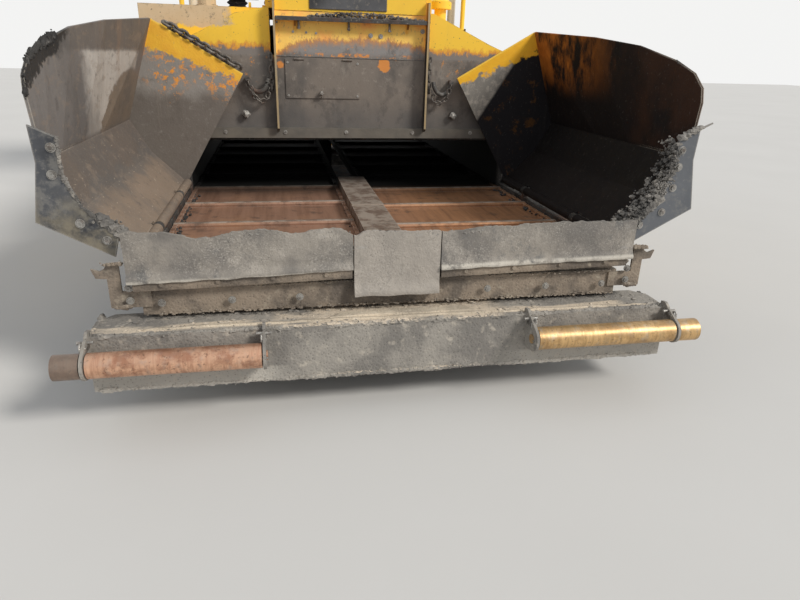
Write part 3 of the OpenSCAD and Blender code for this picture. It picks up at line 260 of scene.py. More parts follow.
def painted(name, colour, worn=0.4, roughness=0.42):
    """Machine paint: stains, dust that gathers low down, chips on the edges."""
    f = Finish(name, roughness)
    f.paint(colour, worn, worn * 0.6)
    f.lay(DUST, f.step(f.z, 1.2, 0.2), f.spots(0.3, 0.65, 4.0, 6), 0.55)
    specks = f.spots(0.68 - 0.06 * worn, 0.76, 75.0, 2)
    chipped = f.edges(0.007) * f.spots(0.45, 0.6, 30.0, 4)
    f.lay(BROWN, f.most(specks, chipped))
    f.rough(f.blend(f.noise(5.0, 4), roughness - 0.08, roughness + 0.3))
    f.bump(f.noise(140.0, 3), 0.0008, 0.4)
    return f.made()


def steel(name, base, dark, scale=5.0, roughness=0.62, metallic=0.25, rust=0.35):
    """Bare or dirty steel with blotches, rust bloom and bright edges."""
    f = Finish(name, roughness, metallic)
    f.tone = f.mix(f.spots(0.4, 0.64, scale, 8, 0.6), base, dark)
    bloom = f.spots(0.52, 0.72, scale * 1.7, 6, 0.6, place=(1, 1.3, 0.8)) * rust
    f.lay(RUST, bloom)
    f.lay(DUST, f.spots(0.56, 0.74, scale * 14, 3), 0.5)
    f.lay(tuple(min(1, 2.1 * c) for c in base), f.edges(0.005), 0.45)
    f.rough(f.blend(f.noise(scale * 3, 4), roughness - 0.12, roughness + 0.22))
    under = f.bump(f.noise(scale * 5, 6), 0.0025, 0.6)
    f.bump(f.noise(150.0, 3), 0.0008, 0.6, under)
    return f.made()


def tunnel_finish():
    """Frame steel, near black with painted shade where the conveyors run in under the wall."""
    f = Finish("frame_steel_tunnel_shade", 0.8, 0.1)
    f.tone = f.mix(f.spots(0.4, 0.64, 5.0, 8, 0.6), (0.07, 0.067, 0.064), (0.03, 0.029, 0.028))
    f.lay(RUST, f.spots(0.5, 0.7, 9.0, 6, 0.6), 0.3)
    f.lay(DUST, f.spots(0.56, 0.74, 60.0, 3), 0.4)
    f.lay((0.16, 0.15, 0.14), f.edges(0.005), 0.4)
    # Painted shade: near black inside the tunnel under the wall
    shaded_inside = f.step(f.across, 1.075, 1.065) * f.along(1.78, 1.86)
    f.lay(TUNNEL_SHADE, shaded_inside, f.step(f.z, 0.52, 0.6))
    f.bump(f.noise(25.0, 6), 0.0025, 0.6)
    f.dull()
    return f.made()


def box_finish(side):
    """Yellow box, scoured grey low on its front; the left one's shoulder has bleached."""
    f = Finish("yellow_box_" + ("left" if side < 0 else "right"), 0.5)
    f.paint(YELLOW, 0.22, 0.14)
    fray = f.sway(0.35, 11.0, 7, 0.7)
    shoulder = f.along(2.3, 2.2) * f.step(f.x + fray, -0.7, -0.76)
    shoulder = shoulder * f.step(f.z + fray * 0.3, 1.59, 1.602)
    worn = f.mix(f.noise(14.0, 7, 0.7), (0.62, 0.5, 0.36), (0.5, 0.36, 0.22))
    worn = f.mix(f.spots(0.56, 0.66, 26.0, 6, 0.7), worn, (0.26, 0.21, 0.16))
    if side < 0:
        f.lay(worn, shoulder, 0.92)
    edge = f.z + f.sway(0.16, 24.0, 7, 0.75, place=(1, 1, 0.6))
    near = f.along(1.9, 1.84)
    f.lay(ORANGE, f.step(edge, 1.515, 1.48), near, 0.9)
    f.lay((0.2, 0.175, 0.155), f.step(edge, 1.485, 1.465), near)
    low = f.step(f.z, 1.2, 0.9) * f.spots(0.3, 0.65, 4.0, 6)
    f.lay(DUST, low, 0.5)
    chipped = f.edges(0.007) * f.spots(0.45, 0.6, 30.0, 4)
    f.lay(BROWN, f.most(f.spots(0.67, 0.76, 75.0, 2), chipped))
    f.rough(f.blend(f.noise(5.0, 4), 0.36, 0.72))
    f.bump(f.noise(140.0, 3), 0.0008, 0.4)
    return f.made()


def screed_finish():
    """Yellow screed, black where asphalt lies against it: the mouldboard, the soles and the space ahead of them."""
    f = Finish("screed_paint_and_tar", 0.5)
    f.paint(YELLOW, 0.3, 0.2)
    ragged = f.sway(0.12, 9.0, 7, 0.7)
    front = f.step(f.y + ragged, row_y(5.075), row_y(5.045))
    sole = f.step(f.z + ragged, 0.12, 0.06)
    tar = f.mix(f.spots(0.5, 0.66, 14.0, 6, 0.6), (0.02, 0.019, 0.018), (0.075, 0.068, 0.06))
    f.lay(tar, f.most(front, sole))
    f.lay(DUST, f.spots(0.52, 0.68, 6.0, 6, 0.65), 0.5)
    specks = f.spots(0.62, 0.7, 70.0, 3)
    chipped = f.edges(0.007) * f.spots(0.42, 0.58, 30.0, 4)
    f.lay(BROWN, f.most(specks, chipped))
    f.rough(f.blend(f.noise(5.0, 4), 0.38, 0.8))
    f.bump(f.noise(60.0, 5), 0.0012, 0.5)
    return f.made()


def caked(name, base, dark, dust, depth=0.004, grain=85.0, dusty=0.7, top=None, bands=False):
    """Old asphalt and dust baked on to steel or rubber; with top, dust lies on the upper faces."""
    f = Finish(name, 0.93)
    f.tone = f.mix(f.spots(0.4, 0.62, 4.5, 8, 0.62), base, dark)
    if top:
        lying = f.step(f.facing_up(), 0.55, 0.85) * f.spots(0.34, 0.52, 7.0, 6, 0.6, place=(0.5, 1, 1))
        if bands:
            # A strip along the front edge and a wide patch left of the middle; grey with a pale edge behind them
            wander = f.sway(0.12, 3.0, 5, 0.6, place=(1, 0.3, 1))
            strip = f.step(abs(f.y + wander - row_y(0.06)), 0.04, 0.025)
            patch = f.step(abs(f.x + 0.05 + wander * 3.0), 0.52, 0.4)
            strip = strip * f.step(f.x, 1.1, 1.02)
            lying = lying * f.most(strip, patch)
            low = f.step(f.z, 0.245, 0.228) * f.step(f.across, 0.42, 0.62)
            f.lay((0.46, 0.43, 0.38), low, 0.8)
        f.lay(top, lying)
    grains = f.cells(grain)
    f.lay(TAR, f.step(grains, 0.3, 0.04), 0.6)
    f.lay(dust, f.spots(0.54, 0.72, 24.0, 5, 0.6), dusty)
    under = f.bump(f.noise(20.0, 8, 0.66), depth, 1.0)
    f.bump(grains, 0.0022, 0.9, under)
    return f.made()


def wing_finish(side):
    """Hopper wing: paint left along the top of the rear plate, scoured and stained steel below, with some light and
    shade painted in.
    """
    f = Finish("wing_steel_" + ("left" if side < 0 else "right"), 0.6, 0.15)
    out = f.x * float(side)
    rear = f.along(1.688, 1.694)
    # Depth below the sloping top edge of the rear plate
    slope = (1.615 - 1.33) / (1.16 - 0.668)
    edge_z = out * slope + (1.615 - slope * 1.16)
    depth = (edge_z - f.z) * (1 / math.sqrt(1 + slope * slope))
    ragged = f.sway(0.16, 14.0, 6, 0.65)
    limit = (out - 0.62) * (0.2 if side < 0 else 0.16) + 0.03
    paint = rear * f.step(depth + ragged - limit, 0.012, -0.008)
    bright = rear * f.step(abs(depth), 0.01, 0.004)
    scratch = f.noise(30.0, 5, place=f.stretch((1.0, 0.7, 0.06), (0, 0.3 * side, 0)))
    streak = f.spots(0.5, 0.66, 11.0, 6, 0.65, place=(1, 1, 0.16))
    cloud = f.noise(2.3, 7, 0.6)
    wander = f.sway(0.22, 5.0, 6, 0.6)
    along = f.y + wander
    up = f.z + wander
    wall = f.step(f.z, 1.05, 1.09)
    near_peak = f.along(0.75, 1.45) * f.step(f.z, 1.22, 1.45)
    if side < 0:
        # Grey wall with a pale patch painted on as sunlight, brown below, painted shade along the bend, and scoured
        # on the two slopes
        f.tone = f.mix(f.step(f.z, 0.8, 0.92), (0.228, 0.174, 0.13), (0.128, 0.105, 0.088))
        # Painted shade: a darker band along the bend between the slopes
        bend_shade = f.step(abs(up - 0.88), 0.055, 0.01)
        f.lay((0.115, 0.11, 0.104), bend_shade, 0.55)
        f.lay((0.175, 0.16, 0.15), wall)
        brown = wall * f.step(along, row_y(0.75), row_y(0.95)) * f.step(up, 1.4, 1.3)
        f.lay((0.215, 0.165, 0.122), brown, 0.75)
        # Painted light: a pale patch of sunlight high on the wall
        frayed = along + f.sway(0.12, 28.0, 6, 0.7)
        pale = f.step(frayed, row_y(0.74), row_y(0.83)) * f.step(frayed, row_y(1.6), row_y(1.5))
        off = (frayed - row_y(1.45)) * (1 / 0.45)
        arch = f.z + abs(off) ** 2.0 * 0.29
        rough_z = f.z + f.sway(0.07, 16.0, 6, 0.7)
        pale = pale * (f.step(rough_z, 1.462, 1.432) * f.step(arch, 1.345, 1.372))
        drawn = f.blend(f.noise(30.0, 6, 0.7, place=(1, 1, 0.18)), 0.45, 1.0)
        f.lay((0.6, 0.56, 0.51), pale, wall, drawn, 0.95)
        heap = wall * f.step(arch, 1.355, 1.34) * f.step(frayed, row_y(0.92), row_y(1.02))
        f.lay((0.205, 0.158, 0.112), heap, 0.55)
        band = f.step(f.z, 1.435, 1.455) * f.along(0.6, 0.75)
        f.lay((0.125, 0.108, 0.096), band, 0.65)
        f.lay((0.105, 0.096, 0.09), f.step(cloud, 0.46, 0.66), 0.55)
        scour = f.noise(9.0, 7, 0.7, place=f.stretch((0.5, 1, 2.2), (0.5, 0, 0)))
        f.lay((0.25, 0.195, 0.15), f.step(scour, 0.52, 0.66), 0.45)
        f.lay((0.075, 0.066, 0.06), f.spots(0.56, 0.66, 17.0, 7, 0.75), 0.5)
        cuts = f.noise(34.0, 4, 0.6, place=f.stretch((0.25, 1, 3.0), (0.9, 0.2, 0)))
        f.lay((0.42, 0.35, 0.27), f.step(cuts, 0.64, 0.7), f.step(f.z, 1.1, 1.0), 0.7)
        f.lay((0.3, 0.19, 0.12), streak, near_peak, 0.45)
        # Painted shadow: the rear plate is darker below its middle
        plate = f.mix(f.step(up, 1.16, 1.26), (0.15, 0.13, 0.112), (0.265, 0.245, 0.222))
        plate = f.mix(f.spots(0.52, 0.66, 9.0, 7, 0.7) * 0.45, plate, (0.11, 0.094, 0.08))
        plate = f.mix(f.spots(0.56, 0.68, 26.0, 5, 0.7) * 0.22, plate, (0.4, 0.37, 0.33))
        f.lay(plate, rear)
        low_patch = f.step(abs(f.z - 1.3) + abs(out - 1.1), 0.19, 0.06)
        patches = f.most(low_patch, f.step(depth, 0.24, 0.12)) * f.spots(0.525, 0.575, 25.0, 8, 0.78)
        f.lay(f.mix(f.noise(30.0, 4), (0.9, 0.36, 0.03), (0.72, 0.27, 0.03)), patches, rear, 0.95)
    else:
        # Nearly black from tar and painted shade, rusty near the upper rear corner
        f.tone = f.mix(f.step(f.z, 0.8, 0.92), (0.012, 0.01, 0.01), (0.009, 0.008, 0.008))
        f.lay((0.012, 0.01, 0.01), wall)
        reddish = f.along(0.85, 0.55) * (wall * f.step(cloud, 0.4, 0.6))
        f.lay((0.046, 0.022, 0.014), reddish, 0.8)
        rust = near_peak * f.spots(0.38, 0.54, 6.0, 7, 0.66, place=(1, 1, 0.45))
        f.lay(f.mix(f.noise(20.0, 5), (0.2, 0.058, 0.012), (0.62, 0.215, 0.035)), rust, 0.95)
        # Painted light and shadow: a grey lit triangle low at the plate's inner side, the rest dark with tar and
        # painted shadow
        plate = f.mix(f.spots(0.56, 0.66, 9.0, 6, 0.7), (0.016, 0.015, 0.017), (0.085, 0.04, 0.014))
        clear = f.step(out - (f.z - 1.06) * 0.63, 0.825, 0.8)
        grey = f.mix(f.spots(0.45, 0.62, 24.0, 5, 0.7), (0.215, 0.2, 0.178), (0.34, 0.31, 0.27))
        f.lay(f.mix(clear, plate, grey), rear)
        f.shader.inputs["Specular IOR Level"].default_value = 0.12
    f.lay(f.mix(0.5, f.tone, (0.3, 0.25, 0.2) if side < 0 else (0.05, 0.045, 0.04)), f.step(scratch, 0.56, 0.72),
          0.35)
    tar = f.step(f.z + f.noise(16.0, 6) * 0.12, 1.46 if side < 0 else 1.56, 1.53 if side < 0 else 1.6)
    f.lay((0.013, 0.013, 0.013), tar, f.along(0.75, 0.45), 0.92)
    if side < 0:
        # Tar in a torn band along the front of the upper edge
        fringe = f.z + f.sway(0.13, 13.0, 8, 0.72)
        below = fringe - ((f.y - row_y(0.2)) * 0.46 + 1.275)
        band = f.step(below, 0.018, 0.032) * f.along(0.7, 0.62)
        f.lay((0.016, 0.015, 0.015), band, 0.95)
    f.lay(f.mix(f.noise(12.0, 5), YELLOW, (0.74, 0.33, 0.03)), paint)
    f.lay((0.92, 0.62, 0.1), bright, 0.8)
    rim = f.edges(0.008) * f.step(abs(f.y - row_y(0.205)), 0.45, 0.25)
    f.lay((0.42, 0.38, 0.32), rim, 0.75)
    specks = f.spots(0.63, 0.72, 70.0, 3)
    f.lay((0.24, 0.22, 0.2), specks, 0.4 if side < 0 else 0.15)
    f.rough(f.blend(f.noise(6.0, 5), 0.45, 0.88))
    under = f.bump(f.noise(6.0, 6), 0.01, 0.6)
    f.bump(scratch * 0.6 + f.noise(90.0, 4), 0.0015, 0.8, under)
    return f.made()


def rear_wall_finish():
    """Wall behind the hopper: yellow above, fading to scoured grey, with the fins dark from dirt and painted shade.
    """
    f = Finish("rear_wall_steel", 0.58, 0.15)
    hump = (abs(f.x + -0.04) * (1 / 0.5)) ** 4.0 * 0.085
    drip = f.sway(0.13, 38.0, 7, 0.72, place=(1, 1, 0.5))
    level = f.z + hump + drip
    paint = f.step(level, 1.53, 1.56) * f.step(f.across, 0.5, 0.47)
    fringe = f.step(level, 1.49, 1.55) * f.step(f.across, 0.5, 0.47)
    seam = f.step(abs(f.z - 1.447), 0.016, 0.006) * f.spots(0.5, 0.56, 9.0, 6, 0.7)
    seam = seam * f.step(f.across, 0.4, 0.32)

    def spot(x, z, r):
        dx = (f.x - x) ** 2.0
        dz = (f.z - z) ** 2.0
        away = f.calc("SQRT", dx + dz)
        return f.step(away + f.noise(34.0, 5, 0.65) * 0.05, r + 0.028, r + 0.02)

    spots = f.most(spot(0.205, 1.395, 0.04), spot(-0.445, 1.385, 0.022))
    f.tone = f.mix(f.spots(0.42, 0.64, 3.4, 8, 0.6, place=(1, 1, 0.6)), (0.195, 0.165, 0.138), (0.11, 0.098, 0.088))
    f.lay((0.255, 0.24, 0.23), f.step(f.z, 1.42, 1.47), f.step(f.z, 1.6, 1.54))
    pale = f.spots(0.58, 0.7, 6.0, 7, 0.7, place=(1, 1, 0.4))
    f.lay((0.32, 0.29, 0.25), pale, f.step(f.z, 1.2, 1.36), 0.6)
    f.lay((0.095, 0.093, 0.092), f.step(f.z, 1.2, 1.05), 0.5)
    blot = f.spots(0.52, 0.64, 10.0, 7, 0.72, place=f.stretch((1, 1, 0.7), (0, 0.4, 0)))
    f.lay((0.062, 0.056, 0.052), blot, 0.42)
    bright = f.spots(0.56, 0.64, 21.0, 7, 0.72)
    f.lay((0.33, 0.29, 0.25), bright, f.step(f.z, 1.1, 1.25), 0.4)
    f.lay(ORANGE, fringe, 0.75)
    f.lay(f.mix(f.spots(0.45, 0.7, 7.0, 6), (1.0, 0.64, 0.14), (0.98, 0.46, 0.12)), paint)
    soot = f.spots(0.55, 0.64, 30.0, 7, 0.75, place=(1, 1, 0.6))
    f.lay((0.24, 0.19, 0.15), soot, paint, 0.5)
    flecks = f.spots(0.6, 0.66, 26.0, 7, 0.75) * (f.step(f.z, 1.4, 1.46) * f.step(f.z, 1.55, 1.5))
    f.lay(ORANGE, flecks, 0.8)
    f.lay((0.72, 0.27, 0.05), f.most(seam, spots), 0.9)
    side_flecks = f.step(f.across, 0.56, 0.62) * f.spots(0.6, 0.66, 20.0, 7, 0.75)
    f.lay(ORANGE, side_flecks, f.step(f.z, 1.24, 1.4))
    fins = f.along(1.768, 1.762)
    front = f.along(1.7185, 1.7165)
    # Fins: dark sides from dirt and painted shade, pale front edges partly a painted highlight
    fin_dirt_shade_and_light = f.mix(f.step(f.z, 1.52, 1.66), (0.018, 0.017, 0.017), shade(ORANGE, 0.6))
    fin_dirt_shade_and_light = f.mix(front, fin_dirt_shade_and_light, f.mix(f.noise(12.0, 5), (0.26, 0.24, 0.21), (0.5, 0.34, 0.12)))
    f.lay(fin_dirt_shade_and_light, fins, f.step(f.z, 0.985, 0.995))
    lip = f.step(f.z, 1.012, 1.006)
    f.lay(f.mix(f.noise(14.0, 5), (0.055, 0.053, 0.05), (0.24, 0.21, 0.16)), lip, 0.6)
    holes = f.spots(0.66, 0.73, 60.0, 3)
    f.lay(BROWN, holes, 0.6)
    f.rough(f.blend(f.noise(7.0, 5), 0.42, 0.8))
    under = f.bump(f.noise(8.0, 7), 0.004, 0.7)
    f.bump(f.noise(110.0, 4), 0.0012, 0.7, under)
    return f.made()


def slat_finish():
    """Conveyor plates and slats scoured by asphalt: rusty brown with pale tops, worn and partly a painted highlight,
    and painted shade where they run in under the wall.
    """
    f = Finish("scoured_slats", 0.5, 0.35)
    along_y = f.noise(22.0, 6, 0.6, place=(1, 0.07, 1))
    base = f.mix(f.step(f.x, -0.2, 0.5), SLAT, (0.4, 0.205, 0.105))
    f.tone = f.mix(f.step(along_y, 0.36, 0.74) * 0.6, base, (0.13, 0.068, 0.042))
    f.lay((0.42, 0.235, 0.135), f.spots(0.5, 0.72, 3.0, 6), 0.5)
    f.lay((0.1, 0.07, 0.055), f.spots(0.56, 0.66, 11.0, 7, 0.7), 0.6)
    # Pale tops and edges of the slats: partly wear, partly a painted highlight
    top = f.step(f.z, 0.62, 0.6255)
    f.lay(f.mix(f.spots(0.42, 0.6, 14.0, 6, 0.7), (0.34, 0.3, 0.255), (0.15, 0.115, 0.092)), top, 0.85)
    f.lay((0.46, 0.4, 0.34), f.edges(0.006), 0.6)
    dirty = f.spots(0.56, 0.68, 5.0, 7, 0.65, place=(1, 2.5, 1))
    f.lay((0.085, 0.066, 0.054), dirty, 0.5)
    # Painted shade: the slats go near black where they run in under the wall
    dark = f.along(1.45, 1.95)
    f.lay(TUNNEL_SHADE, dark)
    f.metal(f.blend(dark, 0.35, 0.0))
    f.dull()
    f.rough(f.blend(dark, f.blend(along_y, 0.34, 0.66), 0.95))
    f.bump(along_y, 0.002, 0.7)
    return f.made()


def roller_finish():
    """Push roller polished by tyres: copper and brass tones in rings."""
    f = Finish("polished_roller", 0.38, 0.65)
    rings = f.noise(95.0, 5, place=(1, 0.1, 0.1))
    spots = f.noise(30.0, 6, 0.65, place=(1, 0.7, 0.7))
    gold = f.step(f.x, -0.2, 0.2)
    f.tone = f.mix(gold, (0.72, 0.435, 0.285), (0.66, 0.43, 0.2))
    # Painted shade: the upper half of the roller is darker
    upper = f.step(f.z, 0.335, 0.352)
    f.lay(f.mix(gold, (0.36, 0.23, 0.165), (0.42, 0.29, 0.15)), upper, 0.45)
    f.lay(f.mix(gold, (0.4, 0.185, 0.115), (0.34, 0.215, 0.09)), f.step(rings, 0.42, 0.66), 0.55)
    f.lay(f.mix(gold, (0.42, 0.31, 0.25), (0.4, 0.36, 0.3)), f.step(spots, 0.5, 0.66), 0.55)
    blotch = f.spots(0.48, 0.6, 9.0, 8, 0.72, place=f.stretch((0.8, 1, 1), (0.4, 0, 0)))
    f.lay(f.mix(gold, (0.27, 0.12, 0.07), (0.33, 0.195, 0.085)), blotch, 0.62)
    pits = f.spots(0.57, 0.66, 70.0, 5, 0.7)
    f.lay((0.115, 0.07, 0.045), pits, 0.6)
    f.lay(f.mix(gold, (0.33, 0.165, 0.1), (0.3, 0.215, 0.12)), f.spots(0.52, 0.7, 13.0, 6, 0.6), 0.5)
    outboard = f.step(f.across, 1.236, 1.242) * f.step(f.x, 0.1, -0.1)
    f.lay((0.16, 0.14, 0.12), outboard, 0.8)
    f.rough(f.blend(spots, 0.28, 0.6))
    f.bump(rings + spots, 0.0012, 0.6)
    return f.made()


def apron_finish():
    """Rubber flap grey with dust, crusted by asphalt."""
    f = Finish("apron_rubber_dusty", 0.9)
    cloud = f.noise(3.2, 8, 0.6)
    f.tone = f.mix(f.step(cloud, 0.38, 0.62), (0.29, 0.262, 0.226), (0.165, 0.152, 0.138))
    crust = f.step(f.noise(7.0, 7, 0.65) + f.step(f.across, 0.95, 0.1) * 0.1, 0.54, 0.72)
    f.lay((0.4, 0.362, 0.315), crust, 0.62)
    middle = f.step(f.across, 0.191, 0.188)
    f.lay(f.mix(f.noise(18.0, 7, 0.7), (0.34, 0.305, 0.265), (0.43, 0.385, 0.335)), middle, 0.75)
    slate = f.spots(0.53, 0.64, 5.5, 7, 0.68, place=f.stretch((1, 1, 0.8), (0, 0.3, 0)))
    f.lay((0.118, 0.118, 0.116), slate, 1.0 + middle * -0.8, 0.75)
    # Pale band on the fold above the lower edge: partly dust, partly a painted highlight
    lip = f.step(abs(f.z + f.x * -0.02 - 0.604), 0.017, 0.006)
    lip = lip * f.step(f.across, 0.17, 0.2) * f.spots(0.36, 0.5, 12.0, 6, 0.7)
    f.lay((0.56, 0.52, 0.45), lip, 0.8)
    grains = f.cells(95.0)
    f.lay((0.05, 0.05, 0.05), f.step(grains, 0.3, 0.05), crust, 0.7)
    scuff = f.spots(0.6, 0.7, 16.0, 6, 0.7, place=(0.5, 1, 1))
    f.lay((0.36, 0.35, 0.33), scuff, 0.45)
    gritty = f.spots(0.34, 0.66, 5.0, 6, 0.6) * 0.6
    f.lay((0.52, 0.485, 0.43), f.spots(0.54, 0.62, 150.0, 3, 0.6), gritty, 0.7)
    f.lay((0.085, 0.08, 0.074), f.spots(0.56, 0.64, 105.0, 3, 0.6), gritty, 0.7)
    smear = f.spots(0.5, 0.72, 8.0, 7, 0.75, place=(1.0, 1, 0.5))
    f.lay((0.11, 0.104, 0.098), smear, 1.0 + middle * -0.7, 0.5)
    under = f.bump(f.noise(9.0, 6) + f.noise(45.0, 5, 0.7) * 0.45, 0.009, 0.9)
    f.bump(grains * crust + f.noise(120.0, 3), 0.0018, 0.8, under)
    return f.made()


def flange_finish():
    """Dark blue-grey flange plates on the front of the wings, muddy low down on the left."""
    f = Finish("flange_plate", 0.5, 0.3)
    f.tone = f.mix(f.spots(0.42, 0.62, 5.0, 7), (0.08, 0.084, 0.094), (0.04, 0.042, 0.048))
    f.lay((0.15, 0.16, 0.175), f.step(f.x, 0.0, 0.2), 0.6)
    f.lay((0.235, 0.225, 0.205), f.spots(0.5, 0.64, 7.0, 8, 0.75), 0.55)
    mud = f.step(f.x, 0.0, -0.2) * f.step(f.z, 0.98, 0.8)
    mud = mud * f.spots(0.35, 0.6, 9.0, 7, 0.65)
    f.lay((0.235, 0.205, 0.15), mud, 0.85)
    f.lay((0.4, 0.38, 0.345), f.edges(0.01), 0.75)
    f.lay((0.24, 0.23, 0.21), f.spots(0.6, 0.72, 55.0, 4), 0.5)
    f.rough(f.blend(f.noise(8.0, 5), 0.36, 0.75))
    f.bump(f.noise(40.0, 6), 0.0018, 0.8)
    return f.made()


def deck_finish():
    """Raised-pattern deck plate."""
    f = Finish("deck_plate_pattern", 0.55, 0.4)
    f.tone = f.mix(f.spots(0.4, 0.65, 3.0, 7), (0.085, 0.083, 0.08), (0.17, 0.155, 0.135))

    def bars(turn):
        place = f.stretch((16, 40, 0), (0, 0, turn))
        return f.step(f.cells(1.0, place=place), 0.32, 0.2)

    f.bump(f.most(bars(0.785), bars(-0.785)), 0.002, 0.9)
    f.rough(f.blend(f.noise(6.0, 5), 0.4, 0.8))
    return f.made()


def rubber_finish(name, base):
    f = Finish(name, 0.85)
    f.tone = f.mix(f.spots(0.4, 0.66, 4.0, 7), base, tuple(2.3 * c + 0.02 for c in base))
    f.lay((0.16, 0.15, 0.14), f.edges(0.006), 0.5)
    f.lay((0.26, 0.23, 0.19), f.spots(0.55, 0.7, 40.0, 4), 0.5)
    f.bump(f.noise(60.0, 5), 0.0018, 0.8)
    return f.made()


def vinyl_finish():
    f = Finish("seat_vinyl", 0.5)
    f.tone = f.mix(f.spots(0.4, 0.7, 5.0, 6), (0.022, 0.022, 0.024), (0.06, 0.058, 0.055))
    f.bump(f.cells(420.0), 0.0006, 0.7)
    return f.made()


def chrome_finish():
    f = Finish("rod_chrome_bright", 0.14, 1.0)
    f.tone = f.mix(f.spots(0.55, 0.8, 9.0, 6), (0.78, 0.78, 0.79), (0.42, 0.39, 0.35))
    f.rough(f.blend(f.noise(20.0, 5), 0.1, 0.32))
    return f.made()


def lens_finish(name, colour):
    f = Finish(name, 0.12)
    f.tone = (*colour, 1)
    f.shader.inputs["Coat Weight"].default_value = 0.6
    cell = f.cells(160.0)
    f.bump(cell, 0.0008, 0.5)
    return f.made()


STEEL = steel("dirty_steel", GREY, (0.060, 0.055, 0.050))
DARK_STEEL = steel("frame_dark_steel", (0.070, 0.067, 0.064), (0.030, 0.029, 0.028), rust=0.2)
CRUST = caked("old_asphalt_crust", (0.270, 0.252, 0.228), (0.105, 0.099, 0.092), (0.46, 0.42, 0.36), 0.006)
CAKED = caked("beam_caked", (0.300, 0.277, 0.244), (0.188, 0.175, 0.158), (0.48, 0.43, 0.36), 0.005,
               top=(0.58, 0.49, 0.38), bands=True)
LEDGE_CRUST = caked("ledge_crust", (0.175, 0.150, 0.132), (0.080, 0.072, 0.066), (0.36, 0.32, 0.28), 0.004)
BLACK_CRUST = caked("black_crust", (0.050, 0.048, 0.046), (0.020, 0.019, 0.018), (0.17, 0.16, 0.15), 0.006)
MUDDY = caked("muddy_steel", (0.275, 0.222, 0.17), (0.13, 0.108, 0.088), (0.36, 0.31, 0.24), 0.004,
              top=(0.3, 0.26, 0.21))
PAINT = painted("yellow_machine_paint", YELLOW, 0.22)
ROOF = painted("roof_pale_paint", (0.70, 0.66, 0.56), 0.25)
BOLT = steel("bolt_heads", (0.30, 0.29, 0.27), (0.12, 0.11, 0.10), 30.0, 0.42, 0.6, 0.15)
CHAIN = steel("chain_links", (0.15, 0.135, 0.12), (0.055, 0.050, 0.046), 25.0, 0.55, 0.5, 0.3)
RUBBER = rubber_finish("black_rubber", (0.022, 0.022, 0.022))
PLASTIC = rubber_finish("dark_plastic", (0.035, 0.035, 0.037))
IRON = steel("engine_cast_iron", (0.060, 0.060, 0.060), (0.025, 0.024, 0.024), 8.0, 0.7, 0.2, 0.3)
CHROME = chrome_finish()
SLATS = slat_finish()
SLOT_FINISH = {
    "frame_steel": DARK_STEEL, "worn_steel": STEEL, "caked_steel": CAKED, "slat_steel": SLATS,
    "flange_steel": flange_finish(), "yellow_paint": PAINT, "roof_paint": ROOF, "engine_iron": IRON,
    "exhaust_steel": steel("hot_exhaust_steel", (0.16, 0.12, 0.10), (0.07, 0.05, 0.04), 6.0, 0.6, 0.4, 0.7),
    "deck_plate": deck_finish(), "track_rubber": rubber_finish("track_dusty_rubber", (0.034, 0.033, 0.032)),
    "apron_rubber": apron_finish(), "roller_steel": roller_finish(), "chain_steel": CHAIN, "rod_chrome": CHROME,
    "seat_cover": vinyl_finish(), "console_plastic": PLASTIC,
}
NODE_FINISH = {"wing_left": wing_finish(-1), "wing_right": wing_finish(1), "rear_wall": rear_wall_finish(),
               "main_frame": tunnel_finish(), "side_box_left": box_finish(-1), "side_box_right": box_finish(1),
               "crossmember": MUDDY}
NODE_FINISH.update(dict.fromkeys(("screed", "extension_left", "extension_right", "end_gate_left", "end_gate_right"),
                                 screed_finish()))


def dress():
    """Give every CAD node its finish by its material slot, or its own where it has one."""
    slot_of = {row["node"]: row["material_slot"] for row in frame["record"]["subparts"]}
    for name, node in nodes.items():
        node.data.materials.clear()
        node.data.materials.append(NODE_FINISH.get(name) or SLOT_FINISH[slot_of[name]])


def stage():
    mesh = bpy.data.meshes.new("floor")
    mesh.from_pydata([(-40, -40, 0), (40, -40, 0), (40, 40, 0), (-40, 40, 0)], [], [(0, 1, 2, 3)])
    floor = bpy.data.objects.new("floor", mesh)
    bpy.context.scene.collection.objects.link(floor)
    f = Finish("floor_grey", 0.9)
    f.tone = f.mix(f.noise(0.6, 5), (0.56, 0.55, 0.53), (0.62, 0.61, 0.59))
    mesh.materials.append(f.made())
    world = bpy.data.worlds.new("world")
    bpy.context.scene.world = world
    world.use_nodes = True
    tree = world.node_tree
    sky = tree.nodes["Background"]
    sky.inputs["Color"].default_value = (0.93, 0.96, 1.0, 1)
    sky.inputs["Strength"].default_value = 0.62
    back = tree.nodes.new("ShaderNodeBackground")
    back.inputs["Color"].default_value = (0.9, 0.9, 0.89, 1)
    back.inputs["Strength"].default_value = 1.0
    path = tree.nodes.new("ShaderNodeLightPath")
    seen = tree.nodes.new("ShaderNodeMath")
    seen.operation = "MAXIMUM"
    tree.links.new(path.outputs["Is Camera Ray"], seen.inputs[0])
    tree.links.new(path.outputs["Is Glossy Ray"], seen.inputs[1])
    mixed = tree.nodes.new("ShaderNodeMixShader")
    tree.links.new(seen.outputs[0], mixed.inputs[0])
    tree.links.new(sky.outputs[0], mixed.inputs[1])
    tree.links.new(back.outputs[0], mixed.inputs[2])
    tree.links.new(mixed.outputs[0], tree.nodes["World Output"].inputs["Surface"])
    sun = bpy.data.lights.new("sun", "SUN")
    sun.energy = 2.6
    sun.angle = math.radians(14)
    sun.color = (1.0, 0.965, 0.91)
    lamp = bpy.data.objects.new("sun", sun)
    lamp.rotation_euler = Vector((0.95, -0.85, 0.95)).to_track_quat("Z", "Y").to_euler()
    bpy.context.scene.collection.objects.link(lamp)


stage()
dress()

STONES = {}


